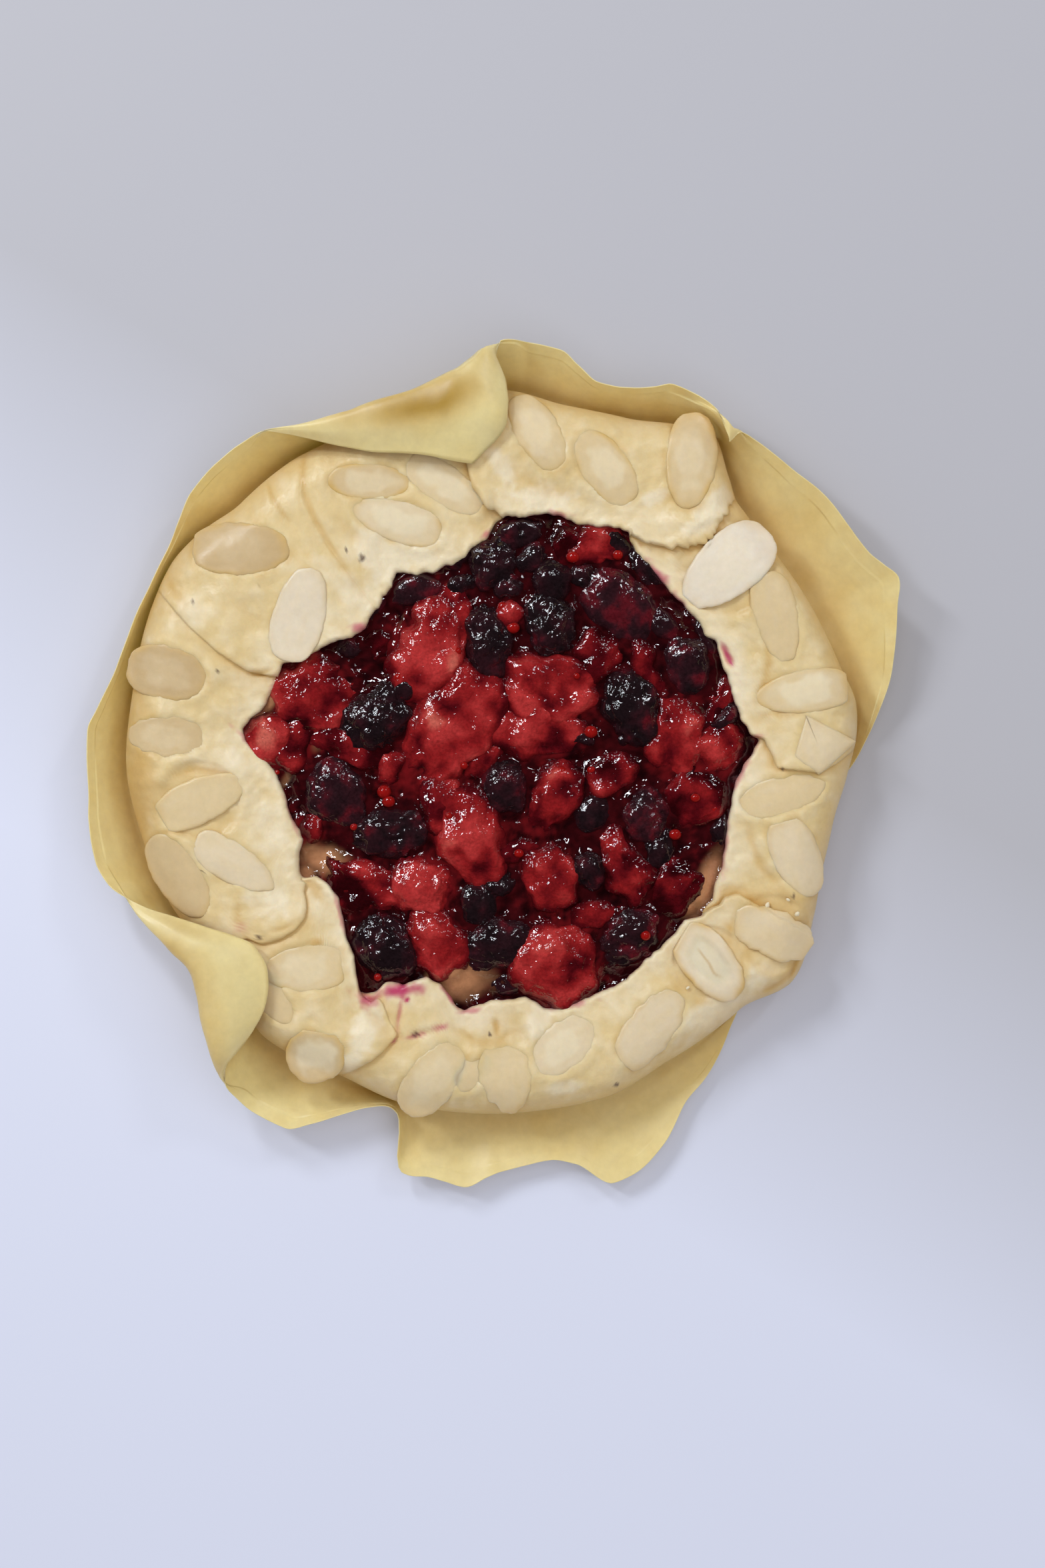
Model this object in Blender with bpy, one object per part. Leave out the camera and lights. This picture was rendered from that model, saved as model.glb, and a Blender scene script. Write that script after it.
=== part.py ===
"""A rustic fruit galette on its sheet of baking paper, in metres with +Z up.

A round of dough is folded up over the filling in eight overlapping flaps. The opening in the
middle shows a level compote with halved strawberries and dark berries standing out of it, and
flaked almonds lie on the folded rim. The paper runs flat under the dough, stands up round it,
and turns in over the rim in two places.

All the driving sizes below are in millimetres and degrees, counted counter-clockwise from +X.
"""

import math

import bmesh
import bpy
import numpy as np
from mathutils import Matrix, Vector
from mathutils.bvhtree import BVHTree

MM = 0.001
GAP = 0.3  # air between neighbouring pieces

# Paper
PAPER_THICK = 0.6
PAPER_LAP = 25.0  # width of the outer flat band that is meshed apart from the middle
PAPER_MIDDLE = 30.0  # radius of the innermost ring of the mesh
PAPER_COLUMNS = 80
PAPER_RISE = ((0.42, 0.30), (0.78, 0.68), (1.0, 1.0))  # shares out and up along the risen part

# Dough
DOUGH_BOTTOM = PAPER_THICK + GAP
BASE_THICK = 3.0
SIDE_WIDEST = 9.0  # height at which the folded side stands out furthest
CREST_TOP = 20.6
LIP_TOP = 18.9
LIP_UNDER = 14.9
LIP_OVERHANG = 4.0
SIDE_ROUND = 10.5  # width over which the top rounds down to the side
LIP_ROUND = 1.6
COLUMN_STEP_DEG = 5.6
RIM_SHARES = (0.965, 0.89, 0.76, 0.58, 0.38, 0.2, 0.07, 0.012)  # rings over the rim, from outside
SEAM_HALF_DEG = 0.25  # half the width of the step where one flap lies on the next
LIFT_REACH = 17.0  # how far the lift of a flap's edge runs back into the flap
GROOVE_REACH = 7.0  # how far the dip beside it runs into the flap below

# Filling
FILLING_TOP = 14.2
FRUIT_COLUMNS = 12
FRUIT_PROFILE = ((1.0, 0.0), (0.97, 0.34), (0.78, 0.74), (0.42, 0.96))  # shares out and up
FRUIT_SHRINK_STEP = 0.03

# Almond flakes
ALMOND_THICK = 1.4
ALMOND_COLUMNS = 14
ALMOND_BEVEL = 0.45
ALMOND_LIFT_STEP = 0.15
ALMOND_FOLLOWS = 0.6  # share of the dough's curve that a flake bends to

# Each flap of the folded edge, counter-clockwise: the line along which it meets the flap before
# it, as (share of the way out across the rim, degrees); the step there, over zero where the flap
# before lies on top; then the radius of the opening and of the outside, as (degrees, mm).
FLAPS = (
    {
        "name": "top",
        "seam": ((0, 57), (0.22, 48), (0.5, 43.5), (1, 46)),
        "step": -2.6,
        "opening": ((58, 69), (64, 66.5), (70, 64.5), (74, 65.5), (81, 63), (86, 63)),
        "outside": ((49, 98), (56, 105), (61, 101), (68, 97), (78, 95.5), (88, 97.5)),
    },
    {
        "name": "upper_left",
        "seam": ((0, 87), (0.14, 90), (0.36, 94), (1, 97)),
        "step": 2.4,
        "opening": ((90, 59), (95, 54), (101, 50.5), (110, 50), (118, 53.5), (122, 51)),
        "outside": ((96, 97), (105, 95), (113, 94), (120, 94.5)),
    },
    {
        "name": "left_shoulder",
        "seam": ((0, 129), (0.55, 128.5), (0.75, 127), (1, 121)),
        "step": 0.8,
        "opening": ((129, 48), (137, 46.5), (147, 51.5), (155, 58)),
        "outside": ((125, 95), (135, 95), (144, 98.5), (150, 100)),
    },
    {
        "name": "left",
        "seam": ((0, 161), (0.2, 162), (0.45, 160), (1, 154)),
        "step": 2.4,
        "opening": ((163, 60), (170, 62.5), (175, 66.5), (183, 59.5), (192, 56), (203, 55), (211, 60)),
        "outside": ((157, 99.5), (172, 98), (182, 98.5), (194, 97), (205, 96)),
    },
    {
        "name": "lower_left",
        "seam": ((0, 215), (0.17, 222), (0.4, 222), (0.6, 219), (1, 214)),
        "step": 2.6,
        "opening": ((217, 56), (222, 56), (229, 60.5), (236, 65.5), (241, 72.5)),
        "outside": ((217, 93.5), (224, 95), (232, 98.5), (240, 97.5)),
    },
    {
        "name": "bottom",
        "seam": ((0, 242), (0.2, 247), (0.45, 252), (0.6, 250.5), (1, 245)),
        "step": 2.0,
        "opening": (
            (246, 67.5),
            (254, 62.5),
            (264, 70),
            (271, 66.5),
            (279, 66.5),
            (285, 71.5),
            (301, 71),
            (311, 69.5),
            (319, 69),
        ),
        "outside": ((245, 96.5), (256, 98), (276, 98), (289, 98.5), (300, 96.5), (314, 97), (323, 102.5)),
    },
    {
        "name": "lower_right",
        "seam": ((0, 322.5), (0.1, 328), (0.22, 330), (1, 330)),
        "step": 3.0,
        "opening": ((326, 71.5), (333, 69.5), (343, 66.5), (353, 66)),
        "outside": ((333, 98), (341, 95), (348, 94.5), (356, 96.5)),
    },
    {
        "name": "right",
        "seam": ((0, 363), (0.3, 356.5), (0.7, 356), (1, 360.5)),
        "step": -1.8,
        "opening": ((363, 72), (367, 67.5), (374, 66.5), (386, 67), (390, 65), (402, 64), (413, 65.5)),
        "outside": ((363, 99), (367, 99.5), (374, 97), (384, 95), (397, 93.5), (405, 94.5)),
    },
)

# The paper's shape round the dough: degrees; where its flat part ends, from the dough's side;
# how far out and how high the risen part reaches; then the length and direction of the part
# beyond (180 degrees is straight back over the dough).
PAPER_SHAPE = (
    (2, 1, 4, 3, 1.5, 45),
    (10, 1, 10, 11, 2, 50),
    (23, 1, 21, 17, 2, 45),
    (36, 1, 17, 17, 2, 50),
    (47, 1, 12, 17, 2, 60),
    (56, 1, 3, 20, 3, 80),
    (62, 1, 7, 16, 2, 60),
    (71, 1, 5, 15, 2, 70),
    (80, 1, 11, 15, 2, 50),
    (87, 1, 10, 19, 3, 90),
    (93, 1, 3, 25.5, 19, 184),
    (98, 1, 2, 26, 20, 184),
    (105, 1, 2, 25.5, 15, 183),
    (114, 1, 3, 24.5, 8, 182),
    (121, 1, 5, 23, 3, 165),
    (127, 1, 9, 20, 2, 60),
    (139, 1, 9, 15, 2, 55),
    (150, 1, 3, 13, 2, 75),
    (165, 1, 3, 13, 2, 75),
    (178, 1, 9, 14, 2, 60),
    (195, 1, 10, 15, 2, 60),
    (203, 1, 7, 20, 3, 120),
    (211, 1, 6, 25, 10, 178),
    (219, 1, 6, 26, 17, 182),
    (226, 1, 11, 25.5, 20, 182),
    (231, 1, 15, 20, 4, 140),
    (240, 1, 17, 13, 2, 45),
    (250, 1, 4, 11, 2, 60),
    (255, 1, 3, 10, 2, 60),
    (259, 1, 17, 6, 2, 20),
    (266, 1, 19, 7, 2, 30),
    (278, 1, 12, 6, 2, 40),
    (287, 1, 21, 6, 2, 10),
    (297, 1, 13, 5, 2, 20),
    (307, 1, 6, 3, 1.5, 20),
    (314, -6, 4, 0, 1.5, 0),
    (322, -17, 4, 0, 1.5, 0),
    (345, -17, 4, 0, 1.5, 0),
    (354, -6, 4, 0, 1.5, 0),
)

# Almond flakes: x, y, degrees of the long axis, length, width
ALMONDS = (
    (-66.6, 53.4, -2, 26.5, 14.2),
    (-50.5, 36.7, 73, 25.7, 13.2),
    (-32.1, 71.2, -2, 21.9, 9.7),
    (-24.8, 60.9, -17, 25.0, 11.0),
    (-12.2, 70.5, -35, 24.0, 11.0),
    (-86.0, 20.6, -12, 22.5, 14.5),
    (-86.2, 4.5, -2, 21.5, 10.0),
    (-77.0, -13.4, 24, 26.0, 12.0),
    (-83.0, -33.5, -56, 24.9, 13.0),
    (-67.8, -30.3, -32, 25.3, 10.5),
    (-48.6, -57.5, 5, 21.0, 12.3),
    (-58.5, -65.0, -55, 19.0, 9.0),
    (-46.3, -80.5, 30, 16.0, 13.5),
    (-15.3, -87.4, 50, 23.0, 13.5),
    (-4.9, -85.5, 40, 12.0, 8.0),
    (3.5, -86.7, -80, 19.0, 13.3),
    (19.2, -77.8, 40, 21.0, 13.0),
    (42.2, -74.2, 50, 26.0, 13.0),
    (57.9, -56.4, -50, 24.5, 14.0),
    (75.0, -49.0, -22, 25.0, 13.0),
    (81.2, -28.4, -60, 23.0, 13.5),
    (77.5, -11.7, 17, 24.0, 10.0),
    (83.4, 15.8, 8, 26.0, 11.5),
    (85.5, 2.0, -70, 16.0, 12.0),
    (76.0, 35.0, -75, 25.0, 11.5),
    (63.1, 48.6, 42, 28.0, 16.0),
    (53.7, 76.6, 83, 25.5, 13.2),
    (30.7, 74.9, -55, 23.0, 13.0),
    (12.5, 84.4, -60, 22.5, 12.0),
)

# Fruit standing out of the compote: x, y, degrees of the long axis, length, width, height
STRAWBERRIES = (
    (-15.2, 28.0, 76, 27.0, 15.5, 5.2),
    (-46.5, 16.5, 10, 18.0, 18.0, 4.4),
    (-9.8, 8.0, 28, 24.0, 17.5, 5.0),
    (-20.2, -8.2, 88, 13.0, 9.0, 3.6),
    (-5.2, -23.0, 112, 25.0, 14.5, 5.4),
    (-34.0, -35.4, 0, 17.0, 10.5, 3.6),
    (-17.5, -36.6, 80, 14.0, 15.5, 5.0),
    (-14.6, -51.0, 120, 16.0, 12.0, 4.6),
    (15.5, -14.5, 62, 17.0, 11.0, 4.2),
    (15.6, -33.4, 100, 15.0, 12.0, 4.2),
    (35.0, -30.5, 118, 19.0, 9.5, 3.4),
    (17.5, -57.6, 74, 20.0, 18.5, 6.0),
    (14.0, 15.6, -6, 22.0, 13.5, 4.4),
    (51.5, 4.0, 96, 15.0, 11.5, 4.0),
)
DARK_BERRIES = (
    (0.2, 50.3, 90, 14.0, 12.5, 5.0),
    (-1.2, 28.8, 96, 21.0, 11.0, 5.6),
    (-30.8, 7.5, 40, 19.0, 16.0, 5.8),
    (-41.0, -11.2, 130, 19.5, 17.0, 5.4),
    (-27.4, -21.6, 10, 19.5, 12.5, 4.8),
    (-28.4, -52.4, 115, 19.0, 15.5, 6.0),
    (3.4, -9.6, 100, 13.5, 12.5, 4.8),
    (42.0, -16.6, 70, 15.0, 13.0, 4.6),
    (2.2, -51.8, 15, 17.0, 13.5, 5.4),
    (36.8, -50.2, 30, 17.0, 14.0, 5.0),
    (34.0, 39.6, 30, 21.0, 18.0, 5.0),
    (16.0, 32.4, 108, 17.5, 12.0, 5.8),
    (37.6, 10.2, 96, 22.0, 15.0, 6.2),
    (53.0, 21.6, 78, 17.0, 13.0, 4.8),
)

DOUGH_LOOK = ((0.807, 0.687, 0.448, 1.0), 0.42)
ALMOND_LOOK = ((0.787, 0.680, 0.473, 1.0), 0.40)
PAPER_LOOK = ((0.700, 0.620, 0.320, 1.0), 0.38)
JAM_LOOK = ((0.090, 0.006, 0.008, 1.0), 0.10)
STRAWBERRY_LOOK = ((0.330, 0.022, 0.022, 1.0), 0.16)
DARK_LOOK = ((0.018, 0.004, 0.006, 1.0), 0.16)

# Node name, places and sizes, look, and how lumpy the outline is
FRUIT_KINDS = (
    ("strawberry", STRAWBERRIES, STRAWBERRY_LOOK, 0.10),
    ("dark_berry", DARK_BERRIES, DARK_LOOK, 0.05),
)


def closed_curve(knots):
    """A smooth closed curve through (degrees, mm) knots that never swings past a knot."""
    knots = sorted((angle % 360, radius) for angle, radius in knots)
    angles = np.array([angle for angle, _ in knots])
    radii = np.array([radius for _, radius in knots])
    angles = np.concatenate([[angles[-1] - 360], angles, [angles[0] + 360, angles[1] + 360]])
    radii = np.concatenate([[radii[-1]], radii, [radii[0], radii[1]]])
    steps = np.diff(angles)
    slopes = np.diff(radii) / steps
    before, after = slopes[:-1], slopes[1:]
    same = before * after > 0
    inner = np.where(same, 2 * before * after / np.where(same, before + after, 1), 0.0)
    tangents = np.concatenate([[0.0], inner, [0.0]])
    tangents[0], tangents[-1] = tangents[-3], tangents[2]

    def radius_at(degrees):
        place = np.mod(np.asarray(degrees, float), 360)
        index = np.clip(np.searchsorted(angles, place, side="right") - 1, 0, len(steps) - 1)
        width = steps[index]
        t = (place - angles[index]) / width
        low, high = radii[index], radii[index + 1]
        rise = (2 * t**3 - 3 * t**2 + 1) * low + (3 * t**2 - 2 * t**3) * high
        lean = (t**3 - 2 * t**2 + t) * tangents[index] + (t**3 - t**2) * tangents[index + 1]
        return rise + lean * width

    return radius_at


opening_radius = closed_curve([knot for flap in FLAPS for knot in flap["opening"]])
outside_radius = closed_curve([knot for flap in FLAPS for knot in flap["outside"]])


def seam_angle(flap, share):
    """Degrees of the line where a flap meets the one before it, at a share of the way out."""
    shares, degrees = zip(*flap["seam"])
    return np.interp(share, shares, degrees)


def smooth(low, high, value):
    """0 below low, 1 above high, and an easy S between."""
    t = np.clip((value - low) / (high - low), 0, 1)
    return t * t * (3 - 2 * t)


def seam_relief(degrees, radius, share):
    """The step where flaps overlap: up on the flap that lies on top, down on the one below."""
    relief = np.zeros_like(degrees)
    for flap in FLAPS:
        turn = np.mod(degrees - seam_angle(flap, share) + 180, 360) - 180
        along = np.radians(turn) * radius * math.copysign(1, flap["step"])
        lift = abs(flap["step"]) * (0.6 + 0.4 * (1 - share))
        on_top = lift * 0.75 * np.exp(along / LIFT_REACH)
        below = -lift * 0.35 * np.exp(-along / GROOVE_REACH)
        relief += np.where(along < 0, on_top, below)
    return relief


def dough_top(x, y):
    """Height of the folded rim's top over a point, from its place between opening and outside."""
    radius = np.hypot(x, y)
    degrees = np.degrees(np.arctan2(y, x))
    inner, outer = opening_radius(degrees), outside_radius(degrees)
    share = np.clip((radius - inner) / (outer - inner), 0, 1)
    height = LIP_TOP + (CREST_TOP - LIP_TOP) * smooth(0.05, 0.55, share)
    turn = np.radians(degrees)
    height = height + 0.5 * np.sin(3 * turn + 0.9) + 0.4 * np.sin(7 * turn + 2.1 + 3 * share)
    height = height + seam_relief(degrees, radius, share)
    lip = np.clip((radius - inner) / LIP_ROUND, 0, 1)
    height = height - 1.3 * (1 - np.sqrt(1 - (1 - lip) ** 2))
    side = np.clip((outer - radius) / SIDE_ROUND, 0, 1)
    return SIDE_WIDEST + (height - SIDE_WIDEST) * np.sqrt(1 - (1 - side) ** 2)


def make_object(name, verts, faces, look, root, place=(0, 0, 0), heading=0.0):
    """A mesh object with its own material, from points in millimetres about its place."""
    mesh = bpy.data.meshes.new(name)
    mesh.from_pydata([MM * Vector(vert) for vert in verts], [], faces)
    work = bmesh.new()
    work.from_mesh(mesh)
    bmesh.ops.triangulate(work, faces=list(work.faces))
    bmesh.ops.recalc_face_normals(work, faces=list(work.faces))
    work.to_mesh(mesh)
    work.free()
    mesh.shade_smooth()
    colour, roughness = look
    material = bpy.data.materials.new(name)
    material.use_nodes = True
    shader = material.node_tree.nodes["Principled BSDF"]
    shader.inputs["Base Color"].default_value = colour
    shader.inputs["Roughness"].default_value = roughness
    shader.inputs["Metallic"].default_value = 0.0
    mesh.materials.append(material)
    thing = bpy.data.objects.new(name, mesh)
    bpy.context.scene.collection.objects.link(thing)
    thing.parent = root
    thing.location = MM * Vector(place)
    thing.rotation_euler = (0, 0, heading)
    return thing


def ring_solid(rings, bottom, top):
    """Points and faces of a closed body from rings of points between a bottom and a top pole."""
    count = len(rings[0])
    verts = [bottom]
    for ring in rings:
        verts.extend(tuple(float(value) for value in point) for point in ring)
    verts.append(top)
    last = len(verts) - 1
    faces = []
    for j in range(count):
        k = (j + 1) % count
        faces.append((0, 1 + k, 1 + j))
        faces.append((last, last - count + j, last - count + k))
        for i in range(len(rings) - 1):
            low, high = 1 + i * count, 1 + (i + 1) * count
            faces.append((low + j, low + k, high + k, high + j))
    return verts, faces


def polar(radius, degrees, height):
    """Points at these radii, angles and heights, as an array of rows."""
    turn = np.radians(degrees)
    level = np.broadcast_to(np.asarray(height, float), np.shape(turn))
    return np.stack([radius * np.cos(turn), radius * np.sin(turn), level], axis=-1)


def dough_columns():
    """The rim's columns: for each, the flap it is in, the flap ahead, and its share of the way."""
    columns = []
    for index, flap in enumerate(FLAPS):
        ahead = FLAPS[(index + 1) % len(FLAPS)]
        span = (seam_angle(ahead, 0.5) - seam_angle(flap, 0.5)) % 360
        count = max(3, round(span / COLUMN_STEP_DEG))
        columns.extend((flap, ahead, share) for share in np.linspace(0, 1, count + 1))
    return columns


def column_degrees(columns, share_out):
    """Angle of every column at a share of the way across the rim, following the seams."""
    angles = []
    for flap, ahead, share in columns:
        start = seam_angle(flap, share_out) + SEAM_HALF_DEG
        end = seam_angle(ahead, share_out) - SEAM_HALF_DEG
        end = start + (end - start) % 360
        angles.append(start + (end - start) * share)
    return np.array(angles)


def make_crust(root):
    """The dough as one solid: a flat base and a folded rim whose lip hangs over the filling."""
    columns = dough_columns()
    at_side = column_degrees(columns, 1.0)
    outer = outside_radius(at_side)
    rings = [
        polar(outer - 3.2, at_side, DOUGH_BOTTOM),
        polar(outer - 0.9, at_side, DOUGH_BOTTOM + 2.2),
        polar(outer, at_side, SIDE_WIDEST - 0.4),
    ]
    for share in RIM_SHARES:
        degrees = column_degrees(columns, share)
        inner = opening_radius(degrees)
        ring = polar(inner + share * (outside_radius(degrees) - inner), degrees, 0.0)
        ring[:, 2] = dough_top(ring[:, 0], ring[:, 1])
        rings.append(ring)
    at_lip = column_degrees(columns, 0.0)
    inner = opening_radius(at_lip)
    base_top = DOUGH_BOTTOM + BASE_THICK
    rings.append(polar(inner + 0.2, at_lip, LIP_UNDER + 0.5))
    rings.append(polar(inner + LIP_OVERHANG, at_lip, LIP_UNDER + 0.2))
    rings.append(polar(inner + LIP_OVERHANG, at_lip, base_top))
    verts, faces = ring_solid(rings, (0, 0, DOUGH_BOTTOM), (0, 0, base_top))
    return make_object("crust", verts, faces, DOUGH_LOOK, root)


def make_filling(root):
    """The compote up to its level, filling the space under the lip to its uneven edge."""
    at_lip = column_degrees(dough_columns(), 0.0)
    edge = opening_radius(at_lip) + LIP_OVERHANG - GAP
    bottom = DOUGH_BOTTOM + BASE_THICK + GAP
    rings = [polar(edge, at_lip, bottom), polar(edge, at_lip, FILLING_TOP)]
    verts, faces = ring_solid(rings, (0, 0, bottom), (0, 0, FILLING_TOP))
    return make_object("filling", verts, faces, JAM_LOOK, root)


def paper_sizes(degrees):
    """The sizes of PAPER_SHAPE at any angles, each from its own smooth closed curve."""
    curves = []
    for item in range(1, 6):
        curves.append(closed_curve([(row[0], row[item]) for row in PAPER_SHAPE])(degrees))
    return curves


def make_paper(root):
    """The baking paper: its middle surface, thickened by a Solidify modifier.

    Each column is flat to the dough's side, rises in a hollow curve to its top, and then runs on
    in the direction of its last part.
    """
    degrees = np.arange(PAPER_COLUMNS) * 360 / PAPER_COLUMNS
    flat_end, reach, rise, beyond, heading = paper_sizes(degrees)
    outer = outside_radius(degrees)
    level = PAPER_THICK / 2
    corner = outer + flat_end
    rings = [
        polar(np.full_like(outer, PAPER_MIDDLE), degrees, level),
        polar(outer - PAPER_LAP, degrees, level),
        polar(corner, degrees, level),
    ]
    for out, up in PAPER_RISE:
        rings.append(polar(corner + reach * out, degrees, level + rise * up))
    turn = np.radians(heading)
    for part, sag in ((0.5, 0.04), (1.0, 0.01)):
        radius = corner + reach + beyond * part * np.cos(turn)
        height = level + rise + beyond * part * np.sin(turn) + sag * beyond
        rings.append(polar(radius, degrees, height))
    verts = [(0, 0, level)]
    for ring in rings:
        verts.extend(tuple(float(value) for value in point) for point in ring)
    count = PAPER_COLUMNS
    faces = []
    for j in range(count):
        k = (j + 1) % count
        faces.append((0, 1 + j, 1 + k))
        for i in range(len(rings) - 1):
            low, high = 1 + i * count, 1 + (i + 1) * count
            faces.append((low + j, high + j, high + k, low + k))
    thing = make_object("baking_paper", verts, faces, PAPER_LOOK, root)
    thickness = thing.modifiers.new("thickness", "SOLIDIFY")
    thickness.thickness = PAPER_THICK * MM
    thickness.offset = 0
    return thing


def tree_of(thing):
    """A search tree of an object's triangles where they stand, modifiers included."""
    bpy.context.view_layer.update()
    shown = thing.evaluated_get(bpy.context.evaluated_depsgraph_get())
    mesh = shown.to_mesh()
    points = [thing.matrix_world @ vert.co for vert in mesh.vertices]
    faces = [tuple(face.vertices) for face in mesh.polygons]
    shown.to_mesh_clear()
    return BVHTree.FromPolygons(points, faces)


def trial_tree(verts, faces, place, heading):
    """A search tree of points in millimetres set at a place and turned to a heading."""
    where = Matrix.Translation(MM * Vector(place)) @ Matrix.Rotation(heading, 4, "Z")
    return BVHTree.FromPolygons([where @ (MM * Vector(vert)) for vert in verts], faces)


def meets(tree, others):
    """Whether a piece's surface crosses that of any other."""
    return any(tree.overlap(other) for other in others)


def almond_floor(size, px, py):
    """Height of the dough under points of a flake, and under its middle, as the flake bends to it.

    A flake is nearly flat, so it takes the plane that fits the dough best and follows only part of
    the dough's own curve. Points past the rim's edges take the height of the nearest dough.
    """
    x, y, degrees = size[:3]
    heading = math.radians(degrees)
    wx = x + px * math.cos(heading) - py * math.sin(heading)
    wy = y + px * math.sin(heading) + py * math.cos(heading)
    radius = np.hypot(wx, wy)
    angle = np.degrees(np.arctan2(wy, wx))
    held = np.clip(radius, opening_radius(angle) + 1.0, outside_radius(angle) - 2.2) / radius
    floor = dough_top(wx * held, wy * held)
    terms = np.stack([px, py, np.ones_like(px)], axis=1)
    plane = np.linalg.lstsq(terms, floor, rcond=None)[0]
    flat = terms @ plane
    centre = float(dough_top(np.array([x]), np.array([y]))[0])
    middle = plane[2] + ALMOND_FOLLOWS * (centre - plane[2])
    return flat + ALMOND_FOLLOWS * (floor - flat), float(middle)


def make_almond(index, size, placed, root):
    """A flake: a thin plate, pointed at one end, set down on the dough clear of what it crosses."""
    x, y, degrees, length, width = size
    turn = np.arange(ALMOND_COLUMNS) * 2 * math.pi / ALMOND_COLUMNS
    along = np.cos(turn)
    across = np.sin(turn) * (1 - 0.16 * along - 0.10 * along**2)
    px, py = length / 2 * along, width / 2 * across
    inner_x = (length / 2 - ALMOND_BEVEL) * along
    inner_y = (width / 2 - ALMOND_BEVEL) * across
    rest, middle = almond_floor(size, px, py)
    rings = [
        np.stack([inner_x, inner_y, rest], axis=1),
        np.stack([px, py, rest + 0.5 * ALMOND_THICK], axis=1),
        np.stack([inner_x, inner_y, rest + ALMOND_THICK], axis=1),
    ]
    verts, faces = ring_solid(rings, (0, 0, middle), (0, 0, middle + ALMOND_THICK))
    lift = GAP
    heading = math.radians(degrees)
    while meets(trial_tree(verts, faces, (x, y, lift), heading), placed):
        lift += ALMOND_LIFT_STEP
    name = f"almond_{index:02d}"
    return make_object(name, verts, faces, ALMOND_LOOK, root, (x, y, lift), heading)


def fruit_dome(size, lumps, scale):
    """A lumpy dome with a flat underside, about its own middle, from an ellipse drawn to scale."""
    x, y, _, length, width, height = size
    turn = np.arange(FRUIT_COLUMNS) * 2 * math.pi / FRUIT_COLUMNS
    phase = 0.7 * x + 0.4 * y
    rings = []
    for share, level in FRUIT_PROFILE:
        lump = 1 + lumps * np.sin(3 * turn + phase) * share
        px = scale * length / 2 * share * lump * np.cos(turn)
        py = scale * width / 2 * share * lump * np.sin(turn)
        rise = height * level * (1 + 0.5 * lumps * np.sin(2 * turn + phase))
        rings.append(np.stack([px, py, rise], axis=1))
    return ring_solid(rings, (0, 0, 0), (0, 0, height))


def make_fruit(name, size, look, lumps, placed, root):
    """A piece of fruit where it stands out of the compote, drawn in until it clears the others."""
    place = (size[0], size[1], FILLING_TOP + GAP)
    heading = math.radians(size[2])
    scale = 1.0
    verts, faces = fruit_dome(size, lumps, scale)
    while meets(trial_tree(verts, faces, place, heading), placed):
        scale -= FRUIT_SHRINK_STEP
        verts, faces = fruit_dome(size, lumps, scale)
    return make_object(name, verts, faces, look, root, place, heading)


def clear_scene():
    """Removes every object that the scene starts with."""
    for thing in list(bpy.data.objects):
        bpy.data.objects.remove(thing)


def main():
    """Builds the galette, piece by piece, from the paper up."""
    clear_scene()
    root = bpy.data.objects.new("galette", None)
    bpy.context.scene.collection.objects.link(root)
    paper = make_paper(root)
    crust = make_crust(root)
    make_filling(root)
    placed = [tree_of(crust), tree_of(paper)]
    for index, size in enumerate(ALMONDS, start=1):
        placed.append(tree_of(make_almond(index, size, placed, root)))
    placed = [tree_of(crust)]
    for kind, sizes, look, lumps in FRUIT_KINDS:
        for index, size in enumerate(sizes, start=1):
            fruit = make_fruit(f"{kind}_{index:02d}", size, look, lumps, placed, root)
            placed.append(tree_of(fruit))


main()
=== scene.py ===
"""The looks of a rustic fruit galette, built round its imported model, in metres with +Z up.

A round of pale dough is folded up over a glossy compote in eight overlapping flaps, with flaked
almonds pressed into the rim, on a sheet of baking paper that turns up round it and in over it.
Shapes are worked out in millimetres, and degrees are counted counter-clockwise from +X.
"""

import logging
import math
from dataclasses import dataclass
from enum import Enum

import bpy
import numpy as np
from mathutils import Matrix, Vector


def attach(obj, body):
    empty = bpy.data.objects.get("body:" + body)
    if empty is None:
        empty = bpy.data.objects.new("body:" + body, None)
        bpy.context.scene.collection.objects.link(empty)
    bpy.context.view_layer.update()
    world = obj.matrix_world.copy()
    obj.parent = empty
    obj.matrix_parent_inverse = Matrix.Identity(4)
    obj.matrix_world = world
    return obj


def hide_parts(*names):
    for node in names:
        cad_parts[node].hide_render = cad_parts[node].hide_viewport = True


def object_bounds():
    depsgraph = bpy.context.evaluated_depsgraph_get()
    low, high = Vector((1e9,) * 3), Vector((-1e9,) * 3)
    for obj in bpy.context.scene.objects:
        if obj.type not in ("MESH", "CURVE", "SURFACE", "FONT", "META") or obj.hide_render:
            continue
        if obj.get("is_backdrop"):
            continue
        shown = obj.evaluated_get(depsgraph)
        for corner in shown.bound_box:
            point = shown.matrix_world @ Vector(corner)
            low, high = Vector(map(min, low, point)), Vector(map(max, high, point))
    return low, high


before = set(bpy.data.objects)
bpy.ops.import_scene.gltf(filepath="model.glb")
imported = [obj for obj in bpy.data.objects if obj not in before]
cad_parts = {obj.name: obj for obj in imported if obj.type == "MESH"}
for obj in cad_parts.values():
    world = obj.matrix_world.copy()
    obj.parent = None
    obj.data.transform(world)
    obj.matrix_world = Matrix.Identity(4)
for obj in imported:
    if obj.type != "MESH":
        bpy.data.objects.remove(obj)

MM = 0.001
Array = np.ndarray
Knots = tuple[tuple[float, float], ...]

# Heights in mm that the pieces share
DOUGH_BOTTOM = 0.9
SIDE_WIDEST = 9.0
CREST_TOP = 20.6
LIP_TOP = 18.9
FILLING_TOP = 14.2

log = logging.getLogger("galette")


class Slot(Enum):
    """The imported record's material slots."""

    DOUGH = "dough"
    ALMOND = "almond"
    JAM = "jam"
    STRAWBERRY = "strawberry"
    DARK_BERRY = "dark_berry"
    PAPER = "paper"


# -------- numbers and noise


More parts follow.
